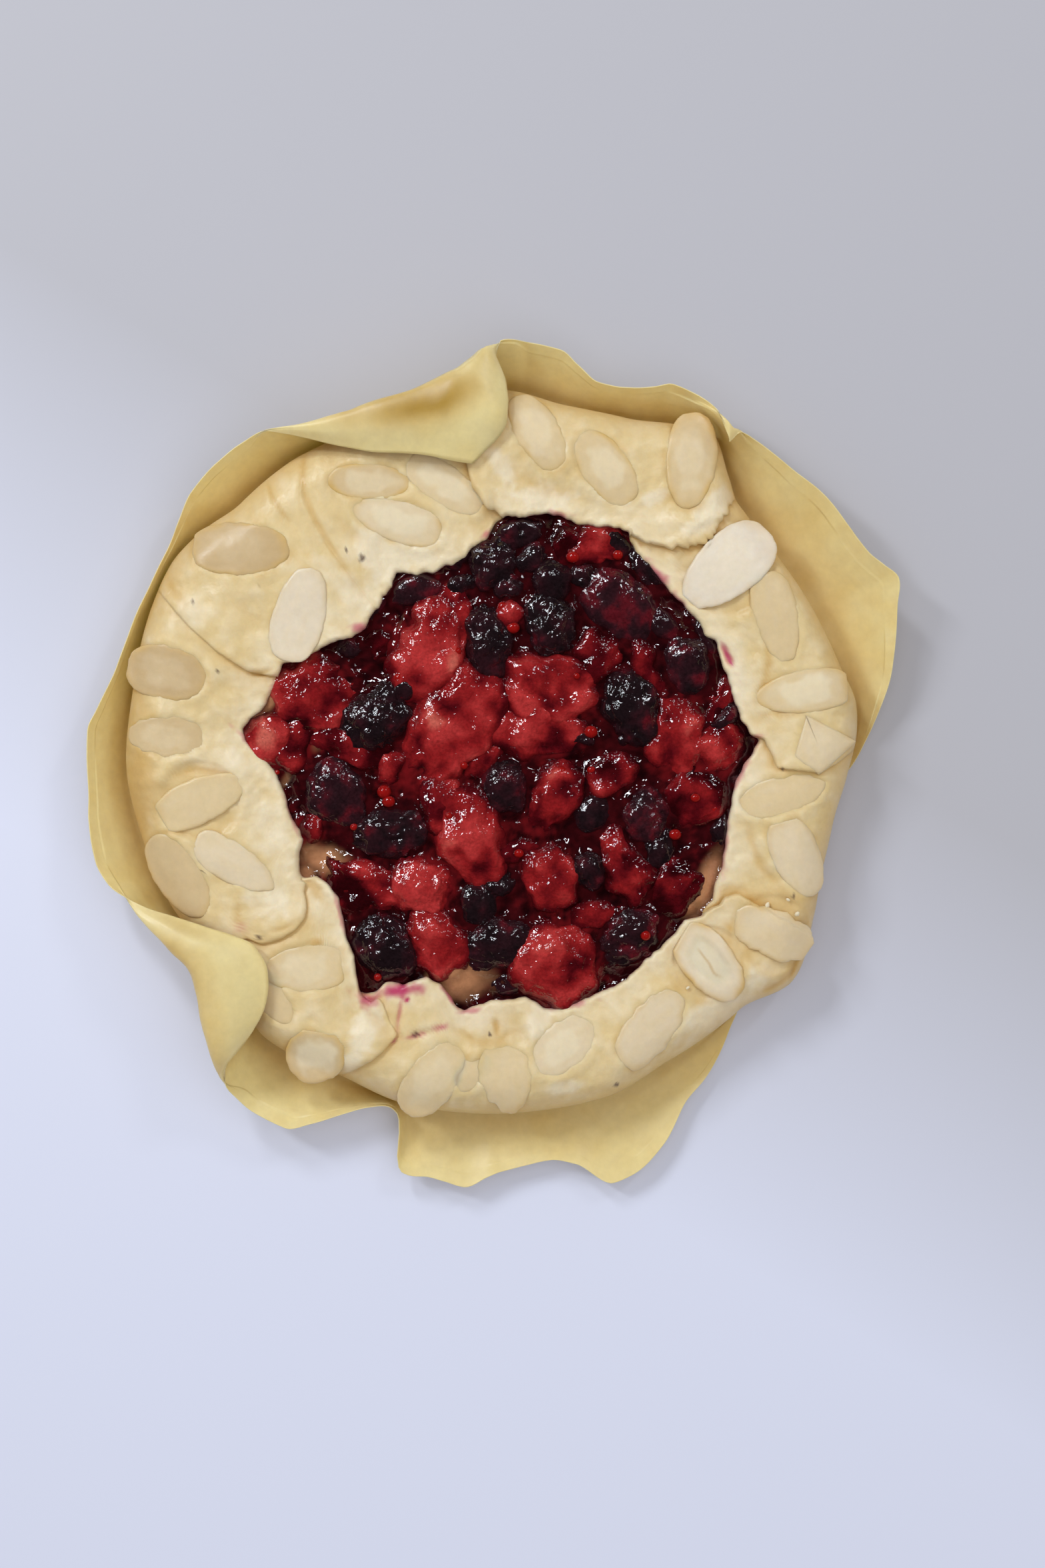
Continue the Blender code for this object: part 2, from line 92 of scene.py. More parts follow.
def fade(low: float, high: float, value: Array) -> Array:
    """An easy S from 0 below low to 1 above high: 3t^2 - 2t^3."""
    t = np.clip((value - low) / (high - low), 0, 1)
    return t * t * (3 - 2 * t)


def srgb(red: float, green: float, blue: float) -> Array:
    """A colour as a screen shows it, 0 to 255 each, as three values of linear light."""
    shown = np.array([red, green, blue]) / 255
    return np.where(shown < 0.04045, shown / 12.92, ((shown + 0.055) / 1.055) ** 2.4)


def blend(first: Array, second: Array, share: Array) -> Array:
    """The first colour where share is 0, the second where it is 1, and in proportion between."""
    part = np.clip(share, 0, 1)[..., None]
    return first * (1 - part) + second * part


def scatter(cell: Array, seed: int) -> Array:
    """Three repeatable numbers from -1 to 1 for each whole-number cell, from its mixed-up bits.

    Args:
        cell: Whole numbers, three to a row.
        seed: Another seed gives other numbers.

    Returns:
        An array of cell's shape.
    """
    x, y, z = (cell[..., axis].astype(np.int64) for axis in range(3))
    mixed = (x * 73856093) ^ (y * 19349663) ^ (z * 83492791) ^ (seed * 6291469)
    parts = []
    for turn in (1, 2, 3):
        value = (mixed + turn * 374761393) & 0xFFFFFFFF
        value = ((value ^ (value >> 15)) * 224682251) & 0xFFFFFFFF
        value = ((value ^ (value >> 13)) * 326648991) & 0xFFFFFFFF
        parts.append(((value ^ (value >> 16)) & 0xFFFFFF) / 0x7FFFFF - 1)
    return np.stack(parts, axis=-1)


def waves(points: Array, size: float, seed: int = 0, octaves: int = 1) -> Array:
    """Smooth lumps about zero, mostly within -1 to 1.

    Each corner of a grid of cells leans its own way, and a point mixes what its cell's eight
    corners say by an easy S of its place. Each further octave is half as large and half as deep.

    Args:
        points: Places in mm, three to a row.
        size: The size of a cell in mm.
        seed: Another seed gives another pattern.
        octaves: How many layers to add.

    Returns:
        One value for each point.
    """
    total = np.zeros(points.shape[:-1])
    for octave in range(octaves):
        place = points / size * 2**octave
        cell = np.floor(place)
        offset = place - cell
        ease = offset**3 * (offset * (offset * 6 - 15) + 10)
        for corner in np.ndindex(2, 2, 2):
            lean = scatter(cell + corner, seed + 17 * octave)
            weight = np.where(np.array(corner) == 1, ease, 1 - ease).prod(axis=-1)
            total += 1.7 * weight * (lean * (offset - corner)).sum(axis=-1) / 2**octave
    return total


def grains(points: Array, size: float, seed: int = 0) -> Array:
    """Distances, in cells, from each point to the nearest of one spot in each cell.

    Args:
        points: Places in mm, three to a row.
        size: The size of a cell in mm.
        seed: Another seed gives another pattern.

    Returns:
        One distance for each point.
    """
    place = points / size
    cell = np.floor(place)
    near = np.full(points.shape[:-1], np.inf)
    for corner in np.ndindex(3, 3, 3):
        spot = cell + corner - 1
        centre = spot + 0.5 + 0.40 * scatter(spot, seed)
        gap = np.linalg.norm(place - centre, axis=-1)
        near = np.minimum(near, gap)
    return near


def path_place(x: Array, y: Array, path: Knots) -> tuple[Array, Array]:
    """Where points lie beside a broken line: the nearest point of its straight parts.

    Args:
        x: Places in mm.
        y: Places in mm.
        path: The line's corners.

    Returns:
        The distance from the line, and the share of the line's length where it is nearest.
    """
    corners = np.array(path, float)
    start, lean = corners[:-1], np.diff(corners, axis=0)
    length = np.hypot(lean[:, 0], lean[:, 1])
    dx, dy = x[:, None] - start[:, 0], y[:, None] - start[:, 1]
    along = np.clip((dx * lean[:, 0] + dy * lean[:, 1]) / length**2, 0, 1)
    gap = np.hypot(dx - along * lean[:, 0], dy - along * lean[:, 1])
    part = gap.argmin(axis=1)
    rows = np.arange(len(x))
    travelled = np.concatenate([[0.0], np.cumsum(length)])
    share = (travelled[part] + along[rows, part] * length[part]) / travelled[-1]
    return gap[rows, part], share


def turned(x: Array, y: Array, centre: tuple[float, float], degrees: float) -> Array:
    """Points as seen from a centre by someone who faces along degrees.

    Args:
        x: Places in mm.
        y: Places in mm.
        centre: The place that becomes zero.
        degrees: The direction that becomes +X.

    Returns:
        The distances along and across, as two rows.
    """
    c, s = math.cos(math.radians(degrees)), math.sin(math.radians(degrees))
    dx, dy = x - centre[0], y - centre[1]
    return np.stack([dx * c + dy * s, dy * c - dx * s])


def xyz(*parts: Array | float) -> Array:
    """A row for each point, of its coordinates and what else is given."""
    return np.stack(np.broadcast_arrays(*parts), axis=-1)


def laid(local: Array, x: float, y: float, level: float, degrees: float) -> Array:
    """Points turned about the upright and then moved to where they lie.

    Args:
        local: Points about zero in mm, three to a row.
        x: Where their zero goes.
        y: Where their zero goes.
        level: The height it goes to.
        degrees: How far they turn.

    Returns:
        The points where they lie.
    """
    c, s = math.cos(math.radians(degrees)), math.sin(math.radians(degrees))
    along, across, up = np.moveaxis(local, -1, 0)
    return xyz(x + along * c - across * s, y + along * s + across * c, level + up)


def polar(radius: Array, degrees: Array, *parts: Array | float) -> Array:
    """A row for each point at a radius and an angle: x, y, and the parts, of which z is the first."""
    turn = np.radians(degrees)
    return xyz(radius * np.cos(turn), radius * np.sin(turn), *parts)


@dataclass(frozen=True)
class Oval:
    """A spot shaped like an ellipse."""

    x: float
    y: float
    degrees: float  # the direction of its long axis
    long: float  # half its length, mm
    wide: float  # half its width, mm
    strength: float = 1.0

    def far(self, x: Array, y: Array) -> Array:
        """How far out points lie in it: 0 at its middle, 1 on its outline."""
        along, across = turned(x, y, (self.x, self.y), self.degrees)
        return np.hypot(along / self.long, across / self.wide)


def ovals(*rows: tuple[float, ...]) -> tuple[Oval, ...]:
    """Spots from rows of x, y, degrees, half length, half width and strength."""
    return tuple(Oval(*row) for row in rows)


class ClosedCurve:
    """A smooth closed curve through (degrees, mm) knots that never swings past a knot."""

    def __init__(self, knots: Knots) -> None:
        """Sorts the knots round the circle and works out the curve's slope at each.

        Args:
            knots: Degrees and the value there.
        """
        pairs = sorted((angle % 360, value) for angle, value in knots)
        angles = np.array([angle for angle, _ in pairs])
        values = np.array([value for _, value in pairs])
        self.angles = np.concatenate([[angles[-1] - 360], angles, angles[:2] + 360])
        self.values = np.concatenate([[values[-1]], values, values[:2]])
        slopes = np.diff(self.values) / np.diff(self.angles)
        before, after = slopes[:-1], slopes[1:]
        same = before * after > 0
        whole = np.where(same, before + after, 1)
        inner = np.where(same, 2 * before * after / whole, 0.0)
        self.slopes = np.concatenate([[inner[-2]], inner, [inner[1]]])

    def __call__(self, degrees: Array) -> Array:
        """The curve at any angles: the cubic that meets both knots with their slopes.

        Args:
            degrees: Where to read it.

        Returns:
            The value at each.
        """
        place = np.mod(np.asarray(degrees, float), 360)
        last = len(self.angles) - 2
        index = np.clip(np.searchsorted(self.angles, place, side="right") - 1, 0, last)
        width = self.angles[index + 1] - self.angles[index]
        t = (place - self.angles[index]) / width
        low, high = self.values[index], self.values[index + 1]
        rise = (2 * t**3 - 3 * t**2 + 1) * low + (3 * t**2 - 2 * t**3) * high
        lean = (t**3 - 2 * t**2 + t) * self.slopes[index]
        return rise + (lean + (t**3 - t**2) * self.slopes[index + 1]) * width


# -------- meshes


@dataclass
class Solid:
    """A closed surface: points in mm, faces as rows of point numbers, and a colour each point."""

    points: Array
    quads: Array
    tris: Array
    tint: Array


def capped(rings: Array, start: Array, end: Array) -> Solid:
    """A closed surface from rings of points between two end points.

    Neighbours on neighbouring rings make quads, the last column joins the first, and each end
    point fans out to its ring. Rings run up, and columns run counter-clockwise seen from the end.

    Args:
        rings: Points by ring and column.
        start: The end point before the first ring.
        end: The end point after the last ring.

    Returns:
        The surface, with no colour yet.
    """
    rows, columns = rings.shape[:2]
    points = np.concatenate([rings.reshape(-1, 3), [start], [end]])
    here = np.arange(rows * columns).reshape(rows, columns)
    ahead = np.roll(here, -1, axis=1)
    quads = np.stack([here[:-1], ahead[:-1], ahead[1:], here[1:]], axis=-1).reshape(-1, 4)
    first = np.full(columns, rows * columns)
    below = np.stack([first, ahead[0], here[0]], axis=-1)
    above = np.stack([first + 1, here[-1], ahead[-1]], axis=-1)
    return Solid(points, quads, np.concatenate([below, above]), np.ones((len(points), 3)))


def closed(rings: Array, tone: Array) -> Solid:
    """A closed surface from rings of points, each end drawn together at its ring's middle.

    Args:
        rings: Points by ring and column.
        tone: A row of colour for each of them.

    Returns:
        The surface with its colours.
    """
    solid = capped(rings, rings[0].mean(axis=0), rings[-1].mean(axis=0))
    flat = tone.reshape(-1, 3)
    solid.tint = np.concatenate([flat, [flat[0]], [flat[-1]]])
    return solid


def heaped(solids: list[Solid]) -> Solid:
    """Several surfaces as one, with their point numbers moved on.

    Args:
        solids: The surfaces.

    Returns:
        All of them together.
    """
    starts = np.cumsum([0] + [len(solid.points) for solid in solids[:-1]])
    return Solid(
        np.concatenate([solid.points for solid in solids]),
        np.concatenate([solid.quads + at for solid, at in zip(solids, starts)]),
        np.concatenate([solid.tris + at for solid, at in zip(solids, starts)]),
        np.concatenate([solid.tint for solid in solids]),
    )


def make_piece(name: str, solid: Solid, finish: "Finish") -> bpy.types.Object:
    """A mesh object at the origin from a surface in mm, smooth shaded and dressed.

    Args:
        name: The piece's name.
        solid: Its surface.
        finish: Its finish.

    Returns:
        The object, riding on the model's one body.
    """
    mesh = bpy.data.meshes.new(name)
    mesh.from_pydata((solid.points * MM).tolist(), [], solid.quads.tolist() + solid.tris.tolist())
    mesh.shade_smooth()
    colour = mesh.attributes.new("tint", "FLOAT_COLOR", "POINT")
    rows = np.concatenate([solid.tint, np.ones((len(solid.points), 1))], axis=1)
    colour.data.foreach_set("color", rows.astype(np.float32).ravel())
    mesh.materials.append(finish.material(name))
    piece = bpy.data.objects.new(name, mesh)
    bpy.context.scene.collection.objects.link(piece)
    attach(piece, "root")
    log.info("%s: %d points, %d faces", name, len(mesh.vertices), len(mesh.polygons))
    return piece


# -------- finishes


def feed(node: bpy.types.Node, inputs: dict[str | int, object]) -> bpy.types.Node:
    """Sets a node's inputs, and links those that are given another node's socket.

    Args:
        node: The node.
        inputs: What goes into each input, by its name or number.

    Returns:
        The node.
    """
    for name, value in inputs.items():
        if isinstance(value, bpy.types.NodeSocket):
            node.id_data.links.new(value, node.inputs[name])
        else:
            node.inputs[name].default_value = value
    return node


@dataclass(frozen=True)
class Finish:
    """A food's surface: its own colours, finer mottling, a wet or dry shine, and fine bumps."""

    slot: Slot
    mottle: float  # how far the fine noise darkens and lightens the colour
    mottle_size: float  # mm
    rough: tuple[float, float]  # least and most roughness
    rough_size: float  # mm
    bump: float  # depth of the fine bumps in mm
    bump_size: float  # mm
    soft: float = 0.0  # share of light that goes under the surface
    soft_depth: float = 1.0  # mm
    soft_colour: tuple[float, float, float] = (1.0, 0.5, 0.25)
    gloss: float = 0.5  # specular level
    bump_layers: float = 4.0  # how many finer layers the bumps have
    patch_size: float = 0.0  # mm of the patches over which the bumps come and go, 0 for none
    patch_least: float = 0.1  # share of the bumps that is left between the patches
    swirl: float = 0.0  # how far the bumps are drawn out into curls

    def material(self, name: str) -> bpy.types.Material:
        """Builds the material's nodes.

        The point colour is multiplied by noise, roughness follows a second noise, and two more
        layers of noise make the bumps. All of them read Object coordinates.

        Args:
            name: The material's name.

        Returns:
            The material.
        """
        material = bpy.data.materials.new(name)
        material.use_nodes = True
        nodes = material.node_tree.nodes
        place = nodes.new("ShaderNodeTexCoord").outputs["Object"]
        colour = nodes.new("ShaderNodeAttribute")
        colour.attribute_name = "tint"
        speck = self.noise(place, self.mottle_size, 4, 0.62)
        lightness = self.ranged(speck, 1 - self.mottle, 1 + self.mottle)
        mix = nodes.new("ShaderNodeVectorMath")
        mix.operation = "MULTIPLY"
        feed(mix, {0: colour.outputs["Color"], 1: lightness})
        shine = self.ranged(self.noise(place, self.rough_size, 3, 0.5), *self.rough)
        bump = nodes.new("ShaderNodeBump")
        if self.patch_size:
            patches = self.noise(place, self.patch_size, 1, 0.5)
            feed(bump, {"Strength": self.ranged(patches, self.patch_least, 1.0)})
        bumps = self.noise(place, self.bump_size, self.bump_layers, 0.5, self.swirl)
        feed(bump, {"Distance": self.bump * MM, "Height": bumps})
        inputs = {
            "Base Color": mix.outputs[0],
            "Roughness": shine,
            "Normal": bump.outputs["Normal"],
            "Subsurface Weight": self.soft,
            "Subsurface Scale": self.soft_depth * MM,
            "Subsurface Radius": self.soft_colour,
            "Specular IOR Level": self.gloss,
        }
        feed(nodes["Principled BSDF"], inputs)
        return material

    def noise(
        self, place: bpy.types.NodeSocket, size: float, detail: float, rough: float, swirl: float = 0.0
    ) -> bpy.types.NodeSocket:
        """A noise texture of a given grain.

        Args:
            place: The coordinates it reads.
            size: Its grain in mm.
            detail: How many finer layers it has.
            rough: How strong the finer layers are.
            swirl: How far it is drawn out into curls.

        Returns:
            Its value, about a half.
        """
        inputs = {"Vector": place, "Scale": 1 / (size * MM), "Detail": detail}
        inputs.update({"Roughness": rough, "Distortion": swirl})
        return feed(place.id_data.nodes.new("ShaderNodeTexNoise"), inputs).outputs["Fac"]

    def ranged(self, value: bpy.types.NodeSocket, low: float, high: float) -> bpy.types.NodeSocket:
        """A noise value spread out, so that 0.3 becomes low and 0.7 becomes high."""
        inputs = {"Value": value, "From Min": 0.3, "From Max": 0.7, "To Min": low, "To Max": high}
        return feed(value.id_data.nodes.new("ShaderNodeMapRange"), inputs).outputs["Result"]


PASTRY = Finish(
    Slot.DOUGH, mottle=0.035, mottle_size=2.0, rough=(0.32, 0.58), rough_size=6.0,
    bump=0.12, bump_size=1.2, soft=0.30, soft_depth=1.8, soft_colour=(1.0, 0.70, 0.40),
)  # fmt: skip
NUT = Finish(
    Slot.ALMOND, mottle=0.03, mottle_size=1.6, rough=(0.28, 0.42), rough_size=5.0,
    bump=0.04, bump_size=0.9, soft=0.35, soft_depth=1.6, soft_colour=(1.0, 0.75, 0.45),
)  # fmt: skip
JELLY = Finish(
    Slot.JAM, mottle=0.10, mottle_size=1.5, rough=(0.02, 0.05), rough_size=3.0,
    bump=0.28, bump_size=2.4, gloss=0.9, bump_layers=2.0, patch_size=8.0, swirl=1.2,
)  # fmt: skip
SOFT_FRUIT = Finish(
    Slot.STRAWBERRY, mottle=0.26, mottle_size=0.8, rough=(0.02, 0.05), rough_size=2.6,
    bump=0.44, bump_size=1.5, soft=0.06, soft_depth=0.8, soft_colour=(1.0, 0.14, 0.12),
    gloss=0.85, bump_layers=1.0, patch_size=5.0, patch_least=0.45, swirl=0.8,
)  # fmt: skip
BERRY_SKIN = Finish(
    Slot.DARK_BERRY, mottle=0.35, mottle_size=0.8, rough=(0.03, 0.16), rough_size=2.5,
    bump=0.40, bump_size=1.5, gloss=0.85, bump_layers=1.5, patch_size=6.0, swirl=1.0,
)  # fmt: skip
BEAD_SKIN = Finish(
    Slot.STRAWBERRY, mottle=0.15, mottle_size=0.8, rough=(0.03, 0.06), rough_size=1.0,
    bump=0.02, bump_size=0.8,
)  # fmt: skip
GREASED_PAPER = Finish(
    Slot.PAPER, mottle=0.05, mottle_size=3.0, rough=(0.30, 0.46), rough_size=12.0,
    bump=0.03, bump_size=1.8, soft=0.6, soft_depth=0.7, soft_colour=(1.0, 0.9, 0.7),
)  # fmt: skip


# -------- the dough's folded rim


@dataclass(frozen=True)
class Flap:
    """One folded flap of dough, counter-clockwise from the seam with the flap before it."""

    seam: Knots  # (share of the way out across the rim, degrees)
    step: Knots  # (share, mm): over zero where the flap before lies on top
    edge: Knots  # (x, y) of its torn edge
    side: Knots  # (degrees, mm) of its outside
    torn: float  # how far the fine tears of its edge go, mm
    frayed: float = 0.12  # how far the seam wanders, degrees


FLAPS = (
    Flap(  # top
        ((0, 57), (0.22, 48), (0.5, 43.5), (1, 46)),
        ((0, -2.6), (1, -2.2)),
        ((37.6, 56.3), (37, 58.2), (34.9, 59), (29.5, 59.7), (21.9, 60.9), (18.8, 62.8), (15, 63.2),
         (9.6, 62.4), (3.8, 62.8)),
        ((49, 98), (56, 105), (61, 101), (68, 97), (78, 95.5), (88, 97.5)),
        0.55,
        0.9,
    ),
    Flap(  # upper left
        ((0, 87), (0.14, 90), (0.36, 94), (1, 97)),
        ((0, 2.6), (1, 2.2)),
        ((2.7, 61.7), (0.4, 59), (-0.7, 57), (-4.6, 54), (-7.2, 51), (-9.9, 49.4), (-13.4, 48.6),
         (-15.7, 47.5), (-20.3, 46.7), (-24.9, 47.5), (-26, 46), (-26.8, 43.3), (-28.7, 41),
         (-29.5, 37.9)),
        ((96, 97), (105, 95), (113, 94), (120, 94.5)),
        0.75,
    ),
    Flap(  # left shoulder
        ((0, 129), (0.55, 128.5), (0.75, 127), (1, 121)),
        ((0, 0.4), (0.2, 0.2), (0.5, 0.1), (1, 0.1)),
        ((-32.5, 35.2), (-33.3, 32.5), (-37.1, 30.2), (-43.3, 28.3), (-48.6, 25.2), (-53.2, 23.7),
         (-55.1, 23.3)),
        ((125, 95), (135, 95), (144, 98.5), (150, 100)),
        0.4,
    ),
    Flap(  # left
        ((0, 161), (0.2, 162), (0.45, 160), (1, 154)),
        ((0, 2.2), (0.3, 1.7), (0.55, 0.9), (1, 0.7)),
        ((-57.1, 18), (-60.1, 12.6), (-61.3, 10.3), (-64, 8.7), (-66.3, 5.7), (-65.5, 2.6),
         (-62.4, -0.5), (-59.5, -3), (-57.1, -6.5), (-54.8, -11.9), (-53.2, -18), (-50.9, -21.1),
         (-50, -23.8), (-50.9, -27.2), (-51.3, -31), (-50.4, -33.6)),
        ((157, 99.5), (172, 98), (182, 98.5), (194, 97), (205, 96)),
        0.25,
    ),
    Flap(  # lower left
        ((0, 213.9), (0.05, 215), (0.15, 217.3), (0.22, 220.8), (0.27, 222.2), (0.38, 222.7),
         (0.475, 222.1), (0.55, 221.3), (0.63, 220), (0.67, 218), (1, 214)),
        ((0, 0.3), (0.06, 1.5), (0.5, 1.7), (1, 1.4)),
        ((-49.6, -34), (-46.5, -33.5), (-43.3, -35.6), (-40.6, -39.2), (-39.4, -44.3),
         (-38.3, -50.2), (-36.3, -54.8), (-35.6, -60.2), (-34.8, -64.4)),
        ((217, 93.5), (224, 95), (232, 98.5), (240, 97.5)),
        0.2,
    ),
    Flap(  # bottom
        ((0, 242), (0.2, 247), (0.45, 252), (0.6, 250.5), (1, 245)),
        ((0, 2), (0.2, 1.2), (0.36, 0.4), (0.5, 1.6), (1, 1.8)),
        ((-33.3, -65.2), (-30.6, -64.4), (-27.9, -61.7), (-23.3, -62.5), (-17.2, -60.2),
         (-13.3, -62.5), (-11, -64.8), (-9.5, -67.9), (-7.2, -69.4), (-3.4, -67.9), (0, -66.6),
         (9.6, -65.7), (12.3, -67.1), (14.2, -69), (18.8, -69), (21.1, -67.9), (25.7, -66.3),
         (30.3, -64), (36.4, -61), (41, -56), (44.9, -52.9), (48.7, -49.1), (51.8, -45.2),
         (56.4, -44.1)),
        ((245, 96.5), (256, 98), (276, 98), (289, 98.5), (300, 96.5), (314, 97), (323, 102.5)),
        0.35,
    ),
    Flap(  # lower right
        ((0, 322.5), (0.1, 328), (0.22, 330), (1, 330)),
        ((0, 3), (0.5, 2.4), (1, 0.8)),
        ((56.8, -42.5), (59.4, -40.2), (60.2, -34.9), (61.7, -31.8), (62.5, -27.2), (63.3, -19.6),
         (64.4, -13.4), (65.6, -8), (67.9, -3.4), (69.8, -1.2), (70.5, 0.4)),
        ((333, 98), (341, 95), (348, 94.5), (356, 96.5)),
        0.25,
    ),
    Flap(  # right
        ((0, 363), (0.3, 356.5), (0.7, 356), (1, 360.5)),
        ((0, -1.8), (1, -2)),
        ((71.9, 3.5), (69.8, 3.7), (67.1, 8), (64.8, 14.1), (63.3, 19.5), (61.3, 24.9),
         (60.2, 29.5), (57.5, 30.6), (54.8, 35.2), (51, 39.4), (47.9, 42.5), (44.1, 47.5),
         (39.1, 52.4)),
        ((363, 99), (367, 99.5), (374, 97), (384, 95), (397, 93.5), (405, 94.5)),
        0.35,
    ),
)


@dataclass(frozen=True)
class Crease:
    """A soft line in the dough, away from the seams: a groove where depth is over zero."""

    path: Knots
    width: float
    depth: float
    # How golden it is: in a groove partly egg wash and partly painted shade; below zero, painted light on
    # a ridge.
    gold: float = 0.5


CREASES = tuple(Crease(*row) for row in (
    (((-49, 84), (-50, 76), (-49.5, 68), (-46, 60), (-41.5, 52.5), (-36, 44.5)), 0.9, 0.7, 0.5),
    (((-45.5, 80), (-46.5, 73), (-45.5, 66), (-42, 60)), 1.4, -0.5, -0.2),
    (((-52.5, 72), (-50.5, 62), (-46, 55), (-42, 50)), 1.8, -0.5, -0.3),
    (((-68, 40), (-64, 36), (-58, 34)), 2, 0.3, 0.1),
    (((-62, -6), (-67, -4), (-71, 0), (-72, 6)), 1.8, -0.6, -0.3),
    (((-66, -8), (-72, -6), (-78, -5), (-86, -7)), 1, 0.5, 0.4),
    (((-90, -22), (-84, -21.5), (-78, -22.5)), 0.7, 0.4, 0.4),
    (((8, -70), (12, -74), (10, -79)), 1.6, -0.7, -0.4),
    (((60, -22), (66, -30), (66, -38)), 2.4, -0.4, -0.1),
    (((68, -20), (72, -31), (78, -37)), 1.2, 0.4, 0.5),
    (((79, 41), (84, 33), (87, 25)), 2.2, -0.4, -0.1),
    (((-59.7, 71.6), (-57.8, 67), (-54.8, 62.4), (-52.8, 60.5)), 0.6, 0.5, 0.6),
    (((-64, 20.6), (-60.9, 20.6), (-58, 21.5)), 0.8, 0.5, 0.5),
    (((-42, 63), (-38, 58), (-33, 55)), 1.4, 0.4, 0.2),
    (((-59, -48), (-54, -47), (-51, -45)), 0.9, 0.4, 0.4),
    (((-67, -40), (-67, -45), (-65, -49)), 0.9, 0.4, 0.5),
    (((-48, -65), (-45, -70), (-41, -75), (-37, -79)), 2.6, -0.7, -0.4),
    (((-33, -66), (-32, -70), (-27, -75), (-26, -79)), 1.4, 0.7, 0.2),
    (((-23.6, -66.5), (-24.6, -73), (-24.4, -77)), 0.7, 0.7, 0.1),
    (((-21.5, -76.2), (-18, -75), (-13, -73.4)), 0.8, 1.1, 0),
    (((1, -71.5), (1.6, -73.5), (1.8, -76)), 0.8, 0.7, 0.6),
    (((-9, -74), (-4, -77.5), (2, -77.5), (6, -75)), 1, 0.5, 0.4),
    (((80, -61), (81, -57.5), (82.5, -55)), 0.7, 0.6, 0.7),
    (((72, -65), (77, -62), (82, -58)), 1, 0.5, 0.6),
    (((73.2, 28.7), (74, 23.3), (73.2, 19.5), (71.7, 15.6)), 1, 0.6, 0.6),
    (((61.3, 28.4), (62.6, 25.6), (64.6, 22.2)), 0.9, 0.9, 0),
    (((60, 31.5), (64, 29.5), (66.5, 24), (67, 19)), 1.8, -0.6, -0.3),
    (((71, 8), (75, 10), (80, 9)), 1.1, 0.5, 0.5),
    (((47, 62), (53, 60), (60, 61.5)), 1.2, -0.5, -0.4),
    (((45, 68), (50, 66), (56, 65)), 1.6, 0.4, 0.4),
    (((5, 76), (8, 72), (16, 69), (24, 68)), 1.8, 0.4, 0.3),
    (((-80, 38), (-84, 42), (-86, 46)), 1.4, 0.4, 0.4),
))  # fmt: skip

# Areas of the dough, partly its own tone and partly painted light and shade, such as the golden
# painted shade on the outer left beside the paper: x, y, degrees, half length, half width, and
# how golden, or white below zero
AREAS = ovals(
    (-93, -8, 88, 26, 5, 0.7), (-88, 44, 60, 14, 4, 0.3), (5, -73, 0, 14, 5, 0.28),
    (60, -69, 32, 14, 4, -0.75), (84, 40, -60, 10, 3, -0.25), (88, -40, 70, 12, 4, 0.1),
    (-29, 51.5, -48, 9, 4.5, -0.95), (-20, 53, -10, 8, 3, -0.35), (14, 67, -6, 6.5, 3, -1),
    (3, 75, -60, 5, 2.5, -0.7), (43.5, 67, 20, 4, 2, -0.8), (60, 65.5, 30, 6.5, 3.2, -0.9),
    (56, 59.5, 20, 5, 2.2, -0.9), (-61, -20.5, -55, 12, 5, -0.3), (-59, -40.5, 0, 6, 5, -0.6),
    (-73.5, -3, 10, 7, 3.5, -0.5), (-33, -74, 70, 8, 3.5, -0.9), (-37.5, -84, 60, 4, 2.5, -0.8),
    (13, -72.5, 70, 5, 3, -0.7), (20, -89.5, 10, 5, 2, -0.6), (-4, -71.5, 10, 5, 3, -0.4),
    (73, -59, 30, 6, 3, -0.5), (64, 14, 70, 12, 4, -0.3), (-40, 45, -40, 10, 3, -0.4),
    (-77, 71, 30, 5, 3, -0.5), (-79, 36, 60, 5, 4, -0.4), (62, -14, 80, 12, 3.5, -0.3),
    (-46, -38, -60, 3.5, 1.4, 0.5), (-49.5, -31.5, -70, 2.5, 1.2, 0.5), (-46, -51, 10, 2, 1.2, 0.9),
)  # fmt: skip

# Fruit juice on the dough: x, y, degrees, half length, half width, strength
STAINS = ovals(
    (-34.6, 32.6, 0, 2.2, 1.6, 0.7), (-1, 57.6, 30, 1.8, 0.8, 0.6), (44.6, 46.4, -50, 5, 1.6, 0.75),
    (50, 40.2, -45, 2.6, 0.7, 0.5), (63, 25.4, -62, 3.4, 0.9, 0.9), (64, 23.4, -60, 1.2, 0.5, 1),
    (-63, 1.2, -42, 5.6, 0.8, 0.7), (-52.8, -18, -70, 6, 0.6, 0.45), (-40, -43.5, -75, 6.5, 0.6, 0.5),
    (67, -5.5, 62, 7, 0.9, 0.55), (62.6, -24, 85, 9, 0.7, 0.5), (21.5, -67.6, 12, 4.6, 0.9, 0.6),
    (-32.8, -66.3, -20, 3.2, 1.8, 0.8), (-24, -63.8, 8, 5.8, 2, 0.95), (-22, -66.2, 60, 0.9, 0.6, 1),
    (-24.2, -70, 82, 4, 0.6, 0.5), (-19.6, -75.6, 14, 2.6, 0.7, 0.8), (-13, -73.5, 10, 2.2, 0.8, 0.7),
    (-10.6, -65.6, -55, 4.4, 0.8, 0.8), (-5.5, -69.3, 8, 3.4, 0.7, 0.6), (18.5, 62.4, -12, 2.4, 1.2, 0.6),
    (70.6, 3.6, 20, 1.8, 0.7, 0.6), (-58, 18, 68, 4, 0.6, 0.25), (-66.2, -47, 0, 1.6, 1.4, 0.3),
    (-25.5, -77.2, 60, 1, 0.4, 0.7),
)  # fmt: skip

